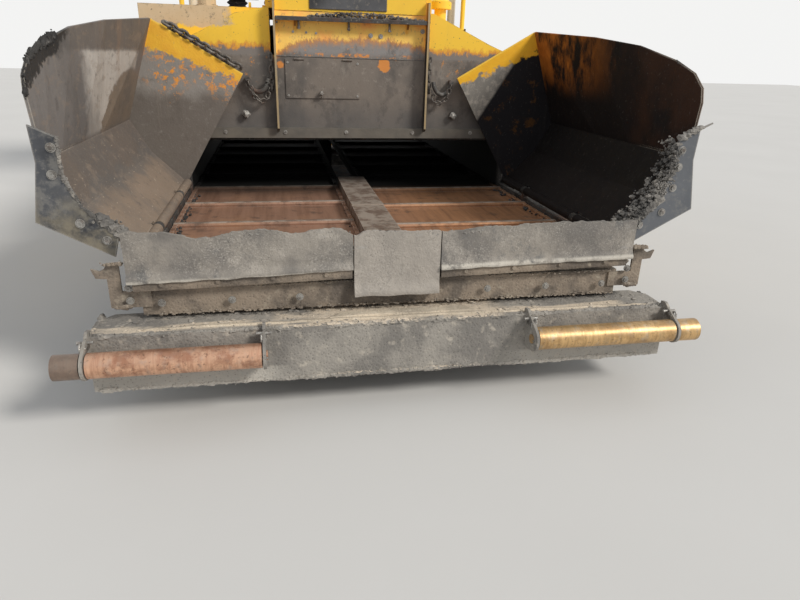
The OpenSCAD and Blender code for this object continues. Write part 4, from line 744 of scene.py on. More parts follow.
def stone(detail):
    """Corners and faces of a unit ball, made once for each level of detail."""
    if detail not in STONES:
        bm = bmesh.new()
        bmesh.ops.create_icosphere(bm, subdivisions=detail, radius=1)
        bm.verts.index_update()
        STONES[detail] = ([v.co.copy() for v in bm.verts], [[v.index for v in f.verts] for f in bm.faces])
        bm.free()
    return STONES[detail]


SIDES = ((-1, "left"), (1, "right"))
BOX_FACES = ((0, 1, 3, 2), (4, 6, 7, 5), (0, 4, 5, 1), (2, 3, 7, 6), (0, 2, 6, 4), (1, 5, 7, 3))
FORWARD, REARWARD, UP = (0, -1, 0), (0, 1, 0), (0, 0, 1)


def around(count):
    """Angles of so many points on a circle."""
    return [2 * math.pi * k / count for k in range(count)]


def rise(z):
    return Vector((0, 0, z))


def aside(x):
    return Vector((x, 0, 0))


def show(mesh, body, finish, smooth_angle=None):
    """Put a mesh into the scene as a piece that rides on a body; smooth up to an angle, if one is given."""
    mesh.materials.append(finish)
    mesh.polygons.foreach_set("use_smooth", [smooth_angle is not None] * len(mesh.polygons))
    obj = bpy.data.objects.new(mesh.name, mesh)
    bpy.context.scene.collection.objects.link(obj)
    if smooth_angle is not None:
        mesh.set_sharp_from_angle(angle=math.radians(smooth_angle))
    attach(obj, body)
    return obj


class Piece:
    """One object built of many small solids, riding on a CAD body."""

    def __init__(self, name, body="tractor", finish=BOLT, slot="worn_steel"):
        self.name, self.body, self.finish, self.slot = name, body, finish, slot
        self.points, self.faces = [], []

    def put(self, points, faces):
        start = len(self.points)
        self.points += [tuple(p) for p in points]
        self.faces += [[start + i for i in face] for face in faces]

    def block(self, low, high, bevel=0.0):
        """Box, with its edges cut off where bevel is given."""
        low, high = Vector([min(a, b) for a, b in zip(low, high)]), Vector([max(a, b) for a, b in zip(low, high)])
        middle, half = (low + high) / 2, (high - low) / 2
        corners = [(i, j, k) for i in (-1, 1) for j in (-1, 1) for k in (-1, 1)]
        if not bevel:
            self.put([middle + Vector([h * c for h, c in zip(half, corner)]) for corner in corners], BOX_FACES)
            return
        # Three points at each corner, one on each of the faces that meet there
        points, index = [], {}
        for corner in corners:
            for axis in range(3):
                index[corner, axis] = len(points)
                points.append(middle + Vector([c * (h if n == axis else h - bevel) for n,
                                               (c, h) in enumerate(zip(corner, half))]))
        faces = [[index[corner, axis] for axis in range(3)] for corner in corners]
        for axis in range(3):
            a, b = [n for n in range(3) if n != axis]
            for side in (-1, 1):
                ring = []
                for u, v in ((-1, -1), (1, -1), (1, 1), (-1, 1)):
                    corner = [0, 0, 0]
                    corner[axis], corner[a], corner[b] = side, u, v
                    ring.append(index[tuple(corner), axis])
                faces.append(ring)
            for u, v in ((-1, -1), (1, -1), (1, 1), (-1, 1)):
                ends = []
                for side in (-1, 1):
                    corner = [0, 0, 0]
                    corner[axis], corner[a], corner[b] = side, u, v
                    ends.append(tuple(corner))
                faces.append([index[ends[0], a], index[ends[1], a], index[ends[1], b], index[ends[0], b]])
        self.put(points, faces)

    def loft(self, rings, closed=False, caps=True):
        """Skin over rings of points that follow each other."""
        sides = len(rings[0])
        faces = []
        for i in range(len(rings) if closed else len(rings) - 1):
            near, far = i * sides, (i + 1) % len(rings) * sides
            faces += [(near + k, near + (k + 1) % sides, far + (k + 1) % sides, far + k) for k in range(sides)]
        if caps and not closed:
            faces += [list(range(sides))[::-1], [(len(rings) - 1) * sides + k for k in range(sides)]]
        self.put([p for ring in rings for p in ring], faces)

    def bar(self, start, end, r, sides=12, r_end=None):
        start, end = Vector(start), Vector(end)
        turn = (end - start).to_track_quat("Z", "Y").to_matrix()
        circle = [turn @ Vector((math.cos(a), math.sin(a), 0)) for a in around(sides)]
        self.loft([[start + c * r for c in circle], [end + c * (r if r_end is None else r_end) for c in circle]])

    def bolt(self, place, out, r=0.011, h=0.008, washer=1.75):
        place, out = Vector(place), Vector(out).normalized()
        self.bar(place - out * 0.002, place + out * 0.003, r * washer, 16)
        self.bar(place + out * 0.002, place + out * h, r, 6)

    def pipe(self, points, r, sides=10, closed=False):
        """Round bar swept along points."""
        points = [Vector(p) for p in points]
        count = len(points)
        rings = []
        for i, point in enumerate(points):
            before = points[(i - 1) % count] if closed else points[max(i - 1, 0)]
            after = points[(i + 1) % count] if closed else points[min(i + 1, count - 1)]
            way = (after - before).normalized()
            side = way.cross(Vector((0.31, 0.17, 0.94))).normalized()
            up = side.cross(way)
            rings.append([point + side * math.cos(a) * r + up * math.sin(a) * r for a in around(sides)])
        self.loft(rings, closed)

    def link(self, middle, way, up, l, w, r):
        """Chain link: a round bar bent to a long ring."""
        way, up = Vector(way).normalized(), Vector(up).normalized()
        half = (l - w) / 2
        ring = [Vector(middle) + way * (math.cos(a) * w / 2 + (half if math.cos(a) > 0 else -half))
                + up * math.sin(a) * w / 2 for a in around(16)]
        self.pipe(ring, r, 8, closed=True)

    def chain(self, points, l=0.040, w=0.026, r=0.0042):
        """Links along a polyline, each turned a quarter against the last."""
        points = [Vector(p) for p in points]
        pitch = l - 2.2 * r
        left, i = 0.0, 0
        for a, b in zip(points, points[1:]):
            way = (b - a).normalized()
            up = way.cross(Vector((0.2, 0.9, 0.3))).normalized()
            while left < (b - a).length:
                turned = up if i % 2 else way.cross(up)
                self.link(a + way * left, way, turned, l, w, r)
                left, i = left + pitch, i + 1
            left -= (b - a).length

    def lump(self, place, r, seed, flat=(1, 1, 1), detail=2):
        """Rough stone or clot of asphalt."""
        corners, faces = stone(detail)
        shift = Vector((seed * 3.7, seed, 0))
        sizes = [r * (1 + 0.6 * noise.noise(co * 1.7 + shift) + 0.42 * noise.noise(co * 4.3 + shift))
                 for co in corners]
        self.put([[p + c * size * f for p, c, f in zip(place, co, flat)] for co, size in zip(corners, sizes)], faces)

    def crust(self, points, r, seed, lumpy=0.5, flat=(1, 1, 1), crumbs=2.0):
        """Broken crust along a line: a rough core with stones stuck to it."""
        rng = random.Random(seed)
        points = [Vector(p) for p in points]
        for a, b in zip(points, points[1:]):
            count = max(1, int((b - a).length / (r * 0.9)))
            for k in range(count):
                place = a.lerp(b, (k + rng.random()) / count)
                wide = r * (1 + lumpy * (noise.noise(place * 9.0 + Vector((seed, 0, 0))) + rng.uniform(-0.3, 0.3)))
                self.lump(place, wide, rng.random() * 90, flat, 2)
            for k in range(int(count * crumbs)):
                away = Vector([rng.gauss(0, 0.55) * r * f for f in flat])
                self.lump(a.lerp(b, rng.random()) + away, r * rng.uniform(0.18, 0.42), rng.random() * 90, detail=1)

    def done(self, smooth=False, angle=40):
        mesh = bpy.data.meshes.new(self.name)
        mesh.from_pydata(self.points, [], self.faces)
        bm = bmesh.new()
        bm.from_mesh(mesh)
        bmesh.ops.recalc_face_normals(bm, faces=bm.faces)
        bm.to_mesh(mesh)
        bm.free()
        return show(mesh, self.body, self.finish, angle if smooth else None)


def apron_top(x):
    """Torn upper edge of the rubber flap."""
    dips = ((-0.8, 0.1, 0.03), (-0.43, 0.07, 0.02), (-0.185, 0.035, 0.03), (0.02, 0.19, 0.02), (0.26, 0.12, 0.022),
            (0.5, 0.1, 0.01))
    top = 0.792 - sum(d * math.exp(-((x - m) / w) ** 2) for m, w, d in dips)
    torn = noise.noise(Vector((x * 22, 0, 3.1))) * 0.007 + noise.noise(Vector((x * 90, 0, 7.7))) * 0.004
    return top + torn


def apron():
    """The flap in its three pieces, each a thick wavy sheet with a fold above its lower edge."""
    low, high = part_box("apron")
    front, back = low.y, high.y
    bm = bmesh.new()
    for x1, x2, foot1, foot2 in ((low.x, -0.192, 0.582, 0.612), (-0.187, 0.187, low.z, low.z),
                                 (0.192, high.x, 0.598, 0.618)):
        columns = int((x2 - x1) / 0.009)
        rows = 26
        sheet = []
        for side in (0, 1):
            grid = []
            for i in range(columns + 1):
                x = x1 + (x2 - x1) * i / columns
                top = apron_top(x)
                foot = foot1 + (foot2 - foot1) * i / columns + noise.noise(Vector((x * 12, 5, 0))) * 0.005
                column = []
                for j in range(rows + 1):
                    z = foot + (top - foot) * j / rows
                    wave = noise.noise(Vector((x * 3.1, z * 6, 1.7))) * 0.01
                    wave += noise.noise(Vector((x * 15, z * 15, 4))) * 0.003
                    fold = 0.016 * math.exp(-((j / rows - 0.04) / 0.1) ** 2)
                    y = front - 0.006 + wave * 0.7 - fold if side == 0 else back - 0.002 + min(wave, 0) * 0.3
                    column.append(bm.verts.new((x, y, z)))
                grid.append(column)
            sheet.append(grid)
        face, rear = sheet
        for i in range(columns):
            for j in range(rows):
                bm.faces.new((face[i][j], face[i + 1][j], face[i + 1][j + 1], face[i][j + 1]))
                bm.faces.new((rear[i][j], rear[i][j + 1], rear[i + 1][j + 1], rear[i + 1][j]))
            for j, flip in ((0, 1), (rows, 0)):
                quad = [face[i][j], rear[i][j], rear[i + 1][j], face[i + 1][j]]
                bm.faces.new(quad if flip else quad[::-1])
        for j in range(rows):
            bm.faces.new((face[0][j], face[0][j + 1], rear[0][j + 1], rear[0][j]))
            bm.faces.new((face[columns][j], rear[columns][j], rear[columns][j + 1], face[columns][j + 1]))
    mesh = bpy.data.meshes.new("apron_flap")
    bm.to_mesh(mesh)
    bm.free()
    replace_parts(show(mesh, "tractor", SLOT_FINISH["apron_rubber"], 50), "apron")
    bar = Piece("apron_clamp_bar", "tractor", MUDDY)
    for x1, x2, z1, z2 in ((-1.08, -0.196, 0.548, 0.57), (0.196, 1.08, 0.558, 0.582)):
        rings = []
        for k in range(31):
            x, z = x1 + (x2 - x1) * k / 30, z1 + (z2 - z1) * k / 30
            z += noise.noise(Vector((x * 9, 1, 0))) * 0.003
            rings.append([at(x, y, z + h) for y, h in ((0.138, 0.0), (0.117, 0.0), (0.115, 0.003), (0.115, 0.046),
                                                       (0.118, 0.05), (0.138, 0.05))])
        bar.loft(rings)
        for k in range(4):
            t = (k + 0.5) / 4
            bar.bolt(at(x1 + (x2 - x1) * t, 0.1155, z1 + (z2 - z1) * t + 0.026), FORWARD, 0.0095, 0.008, 1.4)
    bar.done(True, 40)
    edge = Piece("apron_crust", "tractor", CRUST, "caked_steel")
    rng = random.Random(4)
    for x1, x2 in ((-0.72, -0.21), (-0.16, 0.17), (0.21, 0.4), (0.62, 1.08)):
        steps = int((x2 - x1) / 0.03)
        line = [x1 + (x2 - x1) * k / steps for k in range(steps + 1)]
        edge.crust([(x, front + 0.004, apron_top(x) - 0.012) for x in line], 0.009, rng.random() * 50, 0.6,
                   (1.5, 0.9, 1.0), 2.5)
    edge.done(True)


def both(places):
    """Each place at the left and at the right."""
    return [(side, place) for side in (-1, 1) for place in places]


# A wing's section and upper edge, as in the part's source
KNEE = (1.345, 1.060)
WALL_TOP = (1.388, 1.1517)
WING_FRONT, WING_SHEET_REAR = 0.200, 1.695
WING_EDGE = ((0.200, 1.300), (0.220, 1.360), (0.290, 1.420), (0.420, 1.470), (0.700, 1.535), (1.080, 1.578))
# Inner edge of the flange plate from the apron up to its top corner
FLANGE_EDGE = ((1.120, 0.762), (1.175, 0.822), (1.236, 0.880), (1.265, 0.945), (1.288, 1.010), (1.287, 1.080),
               (1.285, 1.145))
FLANGE_BOLTS = {-1: ((1.311, 1.108), (1.324, 1.007), (1.254, 0.817), (1.165, 0.746)),
                1: ((1.307, 1.095), (1.305, 1.020), (1.295, 0.925), (1.261, 0.812), (1.158, 0.752))}


def wing_wall_x(y, z):
    """Inner face of a wing's upper wall."""
    top = WALL_TOP[0] + (WALL_TOP[1] - WALL_TOP[0]) * (y - WING_FRONT) / (WING_SHEET_REAR - WING_FRONT)
    return KNEE[0] + (top - KNEE[0]) * (z - KNEE[1]) / (1.64 - KNEE[1])


def wing_crusts():
    """Asphalt baked on to the front edges of the wings, and the bolts of their flange plates."""
    for side, name in SIDES:
        body = "wing_" + name
        rng = random.Random(60 + side)
        crust = Piece("wing_edge_crust_" + name, body, CRUST, "caked_steel")
        if side < 0:
            line = [at(-x - 0.004, 0.192, z) for x, z in FLANGE_EDGE]
            crust.crust(line, 0.0085, 11, 0.6, (1.1, 0.9, 1.1), 3.0)
            crust.crust([at(-x, 0.205, z) for x, z in ((1.1, 0.762), (1.15, 0.8), (1.19, 0.845))], 0.021, 12, 0.6,
                        (1.3, 1.1, 0.9), 4.0)
        else:
            # A heap that slopes from the flange's inner edge down into the wing
            for k, (x, z) in enumerate(FLANGE_EDGE[:-1]):
                x2, z2 = FLANGE_EDGE[k + 1]
                for j in range(int(74 * (1.0 - 0.15 * k))):
                    t, spread = rng.random(), rng.random() ** 1.5
                    inward = spread * (0.092 - 0.014 * k)
                    middle = at(x + (x2 - x) * t - inward * 0.9, 0.19 + 0.1 * spread * rng.random(),
                                z + (z2 - z) * t + inward * (0.25 - 0.5 * rng.random()) - 0.01)
                    crust.lump(middle, rng.uniform(0.005, 0.012), rng.random() * 90, (1.5, 0.8, 0.8), 2)
                    for c in range(4):
                        crumb = [rng.uniform(-0.017, 0.017) for n in range(3)]
                        crust.lump(middle + Vector(crumb), rng.uniform(0.002, 0.006), rng.random() * 90, (1, 1, 1), 1)
            crust.crust([at(x + 0.012, 0.186, z) for x, z in FLANGE_EDGE[:3]], 0.011, 14, 0.6, (1.5, 0.5, 1.2), 3.5)
            # Crust over the flange's top edge, with the strip that stands out of it
            crust.crust([at(1.29, 0.196, 1.14), at(1.33, 0.192, 1.172), at(1.385, 0.19, 1.196)], 0.012, 15, 0.6,
                        (1.3, 1.2, 0.9), 3.5)
            crust.bar(at(1.33, 0.192, 1.165), at(1.432, 0.186, 1.214), 0.007, 8, 0.004)
        crust.done(True, 24)
        torn = Piece("wing_rim_crust_" + name, body, BLACK_CRUST, "caked_steel")
        rim = [at(side * (wing_wall_x(y, z) + 0.004), y + 0.004, z - 0.004) for y, z in WING_EDGE]
        if side < 0:
            torn.crust(rim[:4] + [rim[3].lerp(rim[4], 0.45)], 0.0125, 21, 0.75, (0.7, 1.5, 1.5), 4.0)
        else:
            torn.crust(rim[1:4], 0.0045, 22, 0.6, (0.8, 1.4, 1.2), 2.0)
        torn.done(True)
        bolts = Piece("wing_flange_bolts_" + name, body)
        for x, z in FLANGE_BOLTS[side]:
            bolts.bolt(at(side * x, 0.188, z), FORWARD, 0.0115, 0.011, 1.6)
        # Bolts of the hinge lugs and of the cylinder's eye on the outside
        for y in (0.46, 0.48, 1.17, 1.19):
            bolts.bolt(at(side * (wing_wall_x(y, 1.22) + 0.047), y, 1.22), (side, 0, 0), 0.009, 0.008, 1.4)
        bolts.done()


def beam_details():
    """Crust and dust layers on the push beam and the keepers of its rollers."""
    top = 0.41
    crust = Piece("beam_crust", "push_beam", CAKED, "caked_steel")
    line = [at(x, y, top - 0.004) for x, y in ((-1.235, 0.03), (-1.2, 0.012), (-0.6, 0.01), (0.0, 0.012), (0.6, 0.01),
                                               (1.235, 0.02))]
    crust.crust(line, 0.012, 3, 0.5, (1.6, 1.0, 0.8), 1.5)
    crust.crust([at(-1.238, y, top - 0.008) for y in (0.02, 0.12, 0.21)], 0.014, 5, 0.6, (0.8, 1.2, 1), 2)
    crust.crust([at(1.236, y, top - 0.008) for y in (0.02, 0.12, 0.21)], 0.013, 6, 0.6, (0.8, 1.2, 1), 2)
    crust.crust([at(-1.22, 0.0, 0.176), at(-0.5, 0.002, 0.174), at(0.4, 0.002, 0.176), at(1.22, 0.0, 0.176)], 0.01, 7,
                0.6, (1.6, 0.7, 0.9), 1.5)
    rng = random.Random(17)
    for k in range(150):
        crust.lump(at(rng.uniform(-1.2, 1.2), rng.uniform(0.03, 0.2), top), rng.uniform(0.004, 0.011),
                   rng.random() * 90, (1.3, 1.2, 0.7), 1)
    crust.done(True)
    dust = Piece("beam_dust_layer", "push_beam", caked("beam_pale_dust", (0.6, 0.51, 0.39), (0.42, 0.36, 0.28),
                                                       (0.68, 0.6, 0.48), 0.004, 120.0), "caked_steel")
    for x1, x2, y1, y2, h in ((-1.05, 0.42, 0.042, 0.072, 0.007), (-0.3, 0.36, 0.065, 0.138, 0.01),
                              (0.45, 1.18, 0.04, 0.066, 0.006)):
        steps = int((x2 - x1) / 0.03)
        rows = []
        for i in range(steps + 1):
            x = x1 + (x2 - x1) * i / steps
            fade = min(1.0, min(i, steps - i) / 2.0)
            shift = noise.noise(Vector((x * 7, y1 * 50, 2))) * 0.012
            a, b = y1 + shift, y1 + (y2 - y1) * (0.35 + 0.65 * fade) + shift * 1.5
            z = top + h * (0.5 + 0.5 * fade) + noise.noise(Vector((x * 20, 1, 1))) * 0.003
            rows.append([at(x, y, zz) for y, zz in ((a, top - 0.003), (a + 0.006, z), (b - 0.01, z - 0.002),
                                                    (b, top - 0.003))])
        dust.loft(rows)
    dust.done(True)
    keeper = Piece("roller_keepers", "push_beam")
    for side, x in both((0.572, 1.244)):
        keeper.bar(at(side * (x - 0.012), -0.105, 0.33), at(side * (x + 0.012), -0.105, 0.33), 0.004)
        keeper.pipe([at(side * (x + 0.01), -0.06 + 0.012 * math.sin(a),
                        0.392 + 0.02 * math.cos(a)) for a in around(14)], 0.004, 8, True)
        keeper.block(at(side * x - 0.01, -0.066, 0.372), at(side * x + 0.01, -0.01, 0.398), 0.003)
        keeper.bar(at(side * (x - 0.03), -0.03, 0.404), at(side * (x + 0.03), -0.03, 0.404), 0.007)
    keeper.bar(at(0, 0.3, 0.318), at(0, 0.3, 0.352), 0.046, 24)
    keeper.bolt(at(0, 0.3, 0.352), UP, 0.018, 0.016, 1.6)
    keeper.done()


def crossmember_details():
    """Bolts, and dirt lying on the beam that carries the apron."""
    low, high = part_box("crossmember")
    bolts = Piece("crossmember_bolts")
    for side, (x, z) in both(((1.1, 0.505), (1.1, 0.56), (0.98, 0.49), (0.7, 0.49), (0.42, 0.49))):
        bolts.bolt(at(side * x, low.y + MIDDLE_Y - 0.0005, z), FORWARD, 0.01, 0.009, 1.6)
    bolts.done()
    dirt = Piece("crossmember_dirt", "tractor", MUDDY, "caked_steel")
    rng = random.Random(77)
    front = low.y + MIDDLE_Y
    for k in range(620):
        x = rng.uniform(-1.05, 1.05)
        dirt.lump(at(x, front + rng.uniform(-0.002, 0.03), rng.choice((0.437, 0.548)) + rng.uniform(-0.003, 0.005)),
                  rng.uniform(0.002, 0.0055), rng.random() * 90, (1.7, 1, 0.8), 1)
    dirt.crust([at(x, front + 0.014, 0.55) for x in (-1.02, -0.5, 0.0, 0.5, 1.02)], 0.004, 8, 0.6, (2.4, 1.2, 0.6),
               1.5)
    for side, (x, z, r) in both(((1.15, 0.665, 0.014), (1.06, 0.6, 0.012), (1.13, 0.48, 0.012))):
        dirt.crust([at(side * (x - 0.03), front - 0.002, z), at(side * (x + 0.03), front - 0.002, z - 0.004)],
                   r * 0.7, 259 + int(100 * x), 0.6, (1.2, 0.8, 1), 2)
    dirt.done(True)


def wall_details():
    """Hooks, bolts, weld and granular asphalt on the wall behind the hopper."""
    wall_y = 1.79
    bolts = Piece("wall_bolts")
    for x in (-0.325, -0.02, 0.235):
        bolts.bar(at(x, wall_y - 0.012, 1.64), at(x, wall_y - 0.02, 1.6), 0.007)
        bolts.lump(at(x, wall_y - 0.018, 1.598), 0.01, x * 9)
    for x, z in ((0.118, 1.566), (0.182, 1.563), (-0.36, 1.575), (-0.28, 1.572), (-0.22, 1.57), (0.45, 1.6),
                 (-0.455, 1.625)):
        bolts.bolt(at(x, wall_y, z), FORWARD, 0.0095 if x > 0 else 0.005, 0.01, 1.5)
    for x in (-0.43, -0.04, 0.4, -0.8, 0.8):
        bolts.bolt(at(x, wall_y - 0.02, 0.982), FORWARD, 0.009, 0.008, 1.4)
    for side in (-1, 1):
        bolts.lump(at(side * 0.67, wall_y - 0.03, 1.09), 0.021, 5, (1, 0.6, 1.1))
    bolts.lump(at(-0.196, wall_y - 0.036, 1.222), 0.013, 3)
    bolts.bar(at(-0.196, wall_y - 0.034, 1.214), at(-0.196, wall_y - 0.014, 1.19), 0.004)
    for x, z in ((-0.4, 1.205), (-0.4, 1.4), (0.035, 1.205), (0.035, 1.4)):
        bolts.bolt(at(x, wall_y - 0.008, z), FORWARD, 0.0045, 0.005, 1.6)
    bolts.done()
    weld = Piece("wall_weld", "tractor", STEEL)
    weld.crust([at(-0.46, wall_y - 0.001, 1.436), at(0.46, wall_y - 0.001, 1.43)], 0.004, 8, 0.3, (2.0, 0.6, 0.8), 0)
    weld.done(True)
    ledge = Piece("ledge_asphalt", "tractor", LEDGE_CRUST, "caked_steel")
    rng = random.Random(31)
    for k in range(760):
        x = rng.uniform(-0.27, 0.455)
        heap = 0.034 * (0.55 + 0.45 * math.sin(7 * x + 1.2)) + 0.006
        ledge.lump(at(x, rng.uniform(1.732, 1.782), 1.652 + heap * rng.random() ** 1.6), rng.uniform(0.005, 0.01),
                   rng.random() * 90, (1, 1, 0.8), 1)
    for k in range(60):
        x = rng.uniform(-0.45, -0.26)
        ledge.lump(at(x, rng.uniform(1.74, 1.78), 1.654), rng.uniform(0.003, 0.006), k, (1, 1, 0.8), 1)
    ledge.done(False)
    lip = Piece("ledge_lip", "tractor", DARK_STEEL)
    lip.block(at(-0.464, 1.722, 1.634), at(0.464, 1.728, 1.658), 0.002)
    lip.done()
    plate = Piece("blank_plate", "tractor", PLASTIC, "console_plastic")
    plate.block(at(-0.258, 1.778, 1.704), at(0.217, 1.788, 1.846), 0.003)
    plate.done()
    hooks = Piece("wing_lock_hooks", "tractor", STEEL)
    for side in (-1, 1):
        ring = [at(side * (0.585 + 0.06 * math.cos(a)), wall_y - 0.04 - 0.015 * math.sin(a * 2),
                   1.3 + 0.075 * math.sin(a)) for a in (math.pi * (1.0 + k / 12) for k in range(13))]
        hooks.pipe(ring, 0.014, 10)
        hooks.bar(at(side * 0.645, wall_y + 0.002, 1.303), at(side * 0.645, wall_y - 0.05, 1.3), 0.014)
    hooks.done(True)


def chains():
    """Safety chains: from the fins to the corner tabs of the wings, and along the left wing's rear plate."""
    for side, name in SIDES:
        loop = Piece("wing_chain_loop_" + name, "tractor", CHAIN, "chain_steel")
        points = [at(side * x, y, z) for x, y, z in ((0.52, 1.745, 1.235), (0.535, 1.742, 1.185), (0.57, 1.735, 1.17),
                                                     (0.61, 1.73, 1.2), (0.64, 1.725, 1.29))]
        loop.chain(points, 0.036, 0.024, 0.004)
        loop.done(True)
    heavy = Piece("wing_top_chain", "wing_left", CHAIN, "chain_steel")
    heavy.chain([at(-1.075, 1.6995, 1.59), at(-0.965, 1.6995, 1.527), at(-0.82, 1.6995, 1.443),
                 at(-0.7, 1.6995, 1.372)], 0.052, 0.038, 0.0085)
    heavy.done(True)


def hopper_floor():
    """Asphalt left along the apron, in the corners of the hopper and beside the cover over the middle chains."""
    rest = Piece("hopper_asphalt", "tractor", BLACK_CRUST, "caked_steel")
    rng = random.Random(5)
    for k in range(420):
        x = rng.uniform(-1.0, 1.0)
        if abs(x) < 0.1:
            continue
        rest.lump(at(x, 0.19 + abs(rng.gauss(0, 0.05)), 0.602), rng.uniform(0.003, 0.01), rng.random() * 90,
                  (1.3, 1.3, 0.7), 1)
    for k in range(300):
        side = rng.choice((-1, 1))
        rest.lump(at(side * (1.025 - abs(rng.gauss(0, 0.022))), rng.uniform(0.25, 1.7), 0.606),
                  rng.uniform(0.004, 0.011), rng.random() * 90, (1, 1.3, 0.8), 1)
    for k in range(160):
        side = rng.choice((-1, 1))
        rest.lump(at(side * (0.094 + abs(rng.gauss(0, 0.012))), rng.uniform(0.25, 1.85), 0.604),
                  rng.uniform(0.003, 0.007), rng.random() * 90, (1, 1.4, 0.8), 1)
    rest.done(True)


# Places on the machine, as in the part's source
PLATFORM_Z = 1.665
SEAT_X, SEAT_Y = 0.800, 4.350
DESK_Y = 3.640
POST_X, POSTS_Y, ROOF_UNDER_Z = 1.130, (3.640, 4.860), 3.560
# Faces that fittings sit on
BOX_SIDE_X, BOX_REAR_Y, DOOR_X, HOOD_X = 1.2602, 3.5002, 1.2963, 0.5205
ROOF_SIDE_X, ROOF_FRONT_Y, ROOF_REAR_Y, ROOF_EDGE_Z = 1.2601, 3.2999, 5.1401, 3.573
LAMP_Z, WALKWAY_Z, SCREED_FRONT_Y, SCREED_REAR_Y, GATE_X = 3.498, 0.500, 5.0198, 6.3755, 1.4965
# Radius, height and washer of the bolts that come in rows
BOX_BOLT, ROOF_BOLT, GUIDE_BOLT = (0.0075, 0.006, 1.6), (0.006, 0.005, 1.5), (0.010, 0.008, 1.6)
TRACK_FRONT, TRACK_REAR, TRACK_AXIS_Z, SHOE_R, PAD = 1.760, 4.160, 0.340, 0.310, 0.030
TRACK_IN, TRACK_OUT, SHOES = 1.085, 1.375, 44
TREAD = steel("tread_pattern_steel", (0.235, 0.220, 0.200), (0.105, 0.098, 0.090), 12.0, 0.45, 0.5, 0.2)
LENS = lens_finish("lamp_glass", (0.72, 0.74, 0.76))
THREAD = rubber_finish("seat_thread", (0.20, 0.19, 0.17))


def pad(name, body, middle, across, along, half_x, half_l, thick, channels=(), wings=0.0):
    """Upholstered pad: crowned, its sides pulled in between the corners, with a piped seam and sewn channels."""
    across, along, middle = Vector(across).normalized(), Vector(along).normalized(), Vector(middle)
    up = across.cross(along)
    columns, rows, seam = 36, int(36 * half_l / half_x), 0.36 * thick

    def place(u, v, w):
        x = half_x * u * math.sqrt(1 - 0.2 * v * v) * (1 - 0.035 * (1 - v * v))
        y = half_l * v * math.sqrt(1 - 0.2 * u * u) * (1 - 0.035 * (1 - u * u))
        return middle + across * x + along * y + up * w

    def crown(u, v):
        return max(0.0, (1 - abs(u) ** 6) * (1 - abs(v) ** 6)) ** 0.45

    def top(u, v):
        full = crown(u, v)
        bolster = wings * (1 / (1 + math.exp(-22 * (abs(u) - 0.66))))
        dome = 0.1 * thick * (1 - u * u) * (1 - v * v)
        sewn = sum(math.exp(-((v - c) / 0.030) ** 2) for c in channels) / (1 + math.exp(60 * (abs(u) - 0.62)))
        sewn = max(sewn, math.exp(-((abs(u) - 0.64) / 0.026) ** 2) if channels else 0.0)
        pucker = 0.001 * noise.noise(Vector((u * 9, v * 40, thick * 50)))
        return seam + full * (0.88 * thick - seam + dome + bolster + pucker) - 0.01 * sewn * full

    def spread(k, count):
        return math.sin(math.pi / 2 * (2 * k / count - 1))

    skin = Piece(name, body, SLOT_FINISH["seat_cover"], "seat_cover")
    grid = [[(spread(i, columns), spread(j, rows)) for j in range(rows + 1)] for i in range(columns + 1)]
    points = [place(u, v, top(u, v)) for line in grid for u, v in line]
    count = len(points)
    points += [place(u, v, seam * (1 - crown(u, v))) for line in grid for u, v in line]
    faces = []
    for i in range(columns):
        for j in range(rows):
            a, b = i * (rows + 1) + j, (i + 1) * (rows + 1) + j
            faces.append((a, b, b + 1, a + 1))
            faces.append((count + a, count + a + 1, count + b + 1, count + b))
    rim = list(range(rows)) + [i * (rows + 1) + rows for i in range(columns)]
    rim += [columns * (rows + 1) + j for j in range(rows, 0, -1)] + [i * (rows + 1) for i in range(columns, 0, -1)]
    for a, b in zip(rim, rim[1:] + rim[:1]):
        faces.append((a, b, count + b, count + a))
    skin.put(points, faces)
    skin.pipe([points[k] for k in rim], 0.0042, 6, closed=True)
    piece = skin.done(True, 70)
    sewing = Piece(name + "_stitches", body, THREAD, "seat_cover")
    for c in channels:
        for k in range(46):
            u = -0.6 + 1.2 * k / 45
            for side in (-0.042, 0.042):
                start = place(u, c + side, top(u, c + side) + 0.0004)
                sewing.bar(start, place(u + 0.015, c + side, top(u + 0.015, c + side) + 0.0004), 0.0009, 5)
    if channels:
        sewing.done(True)
    return piece


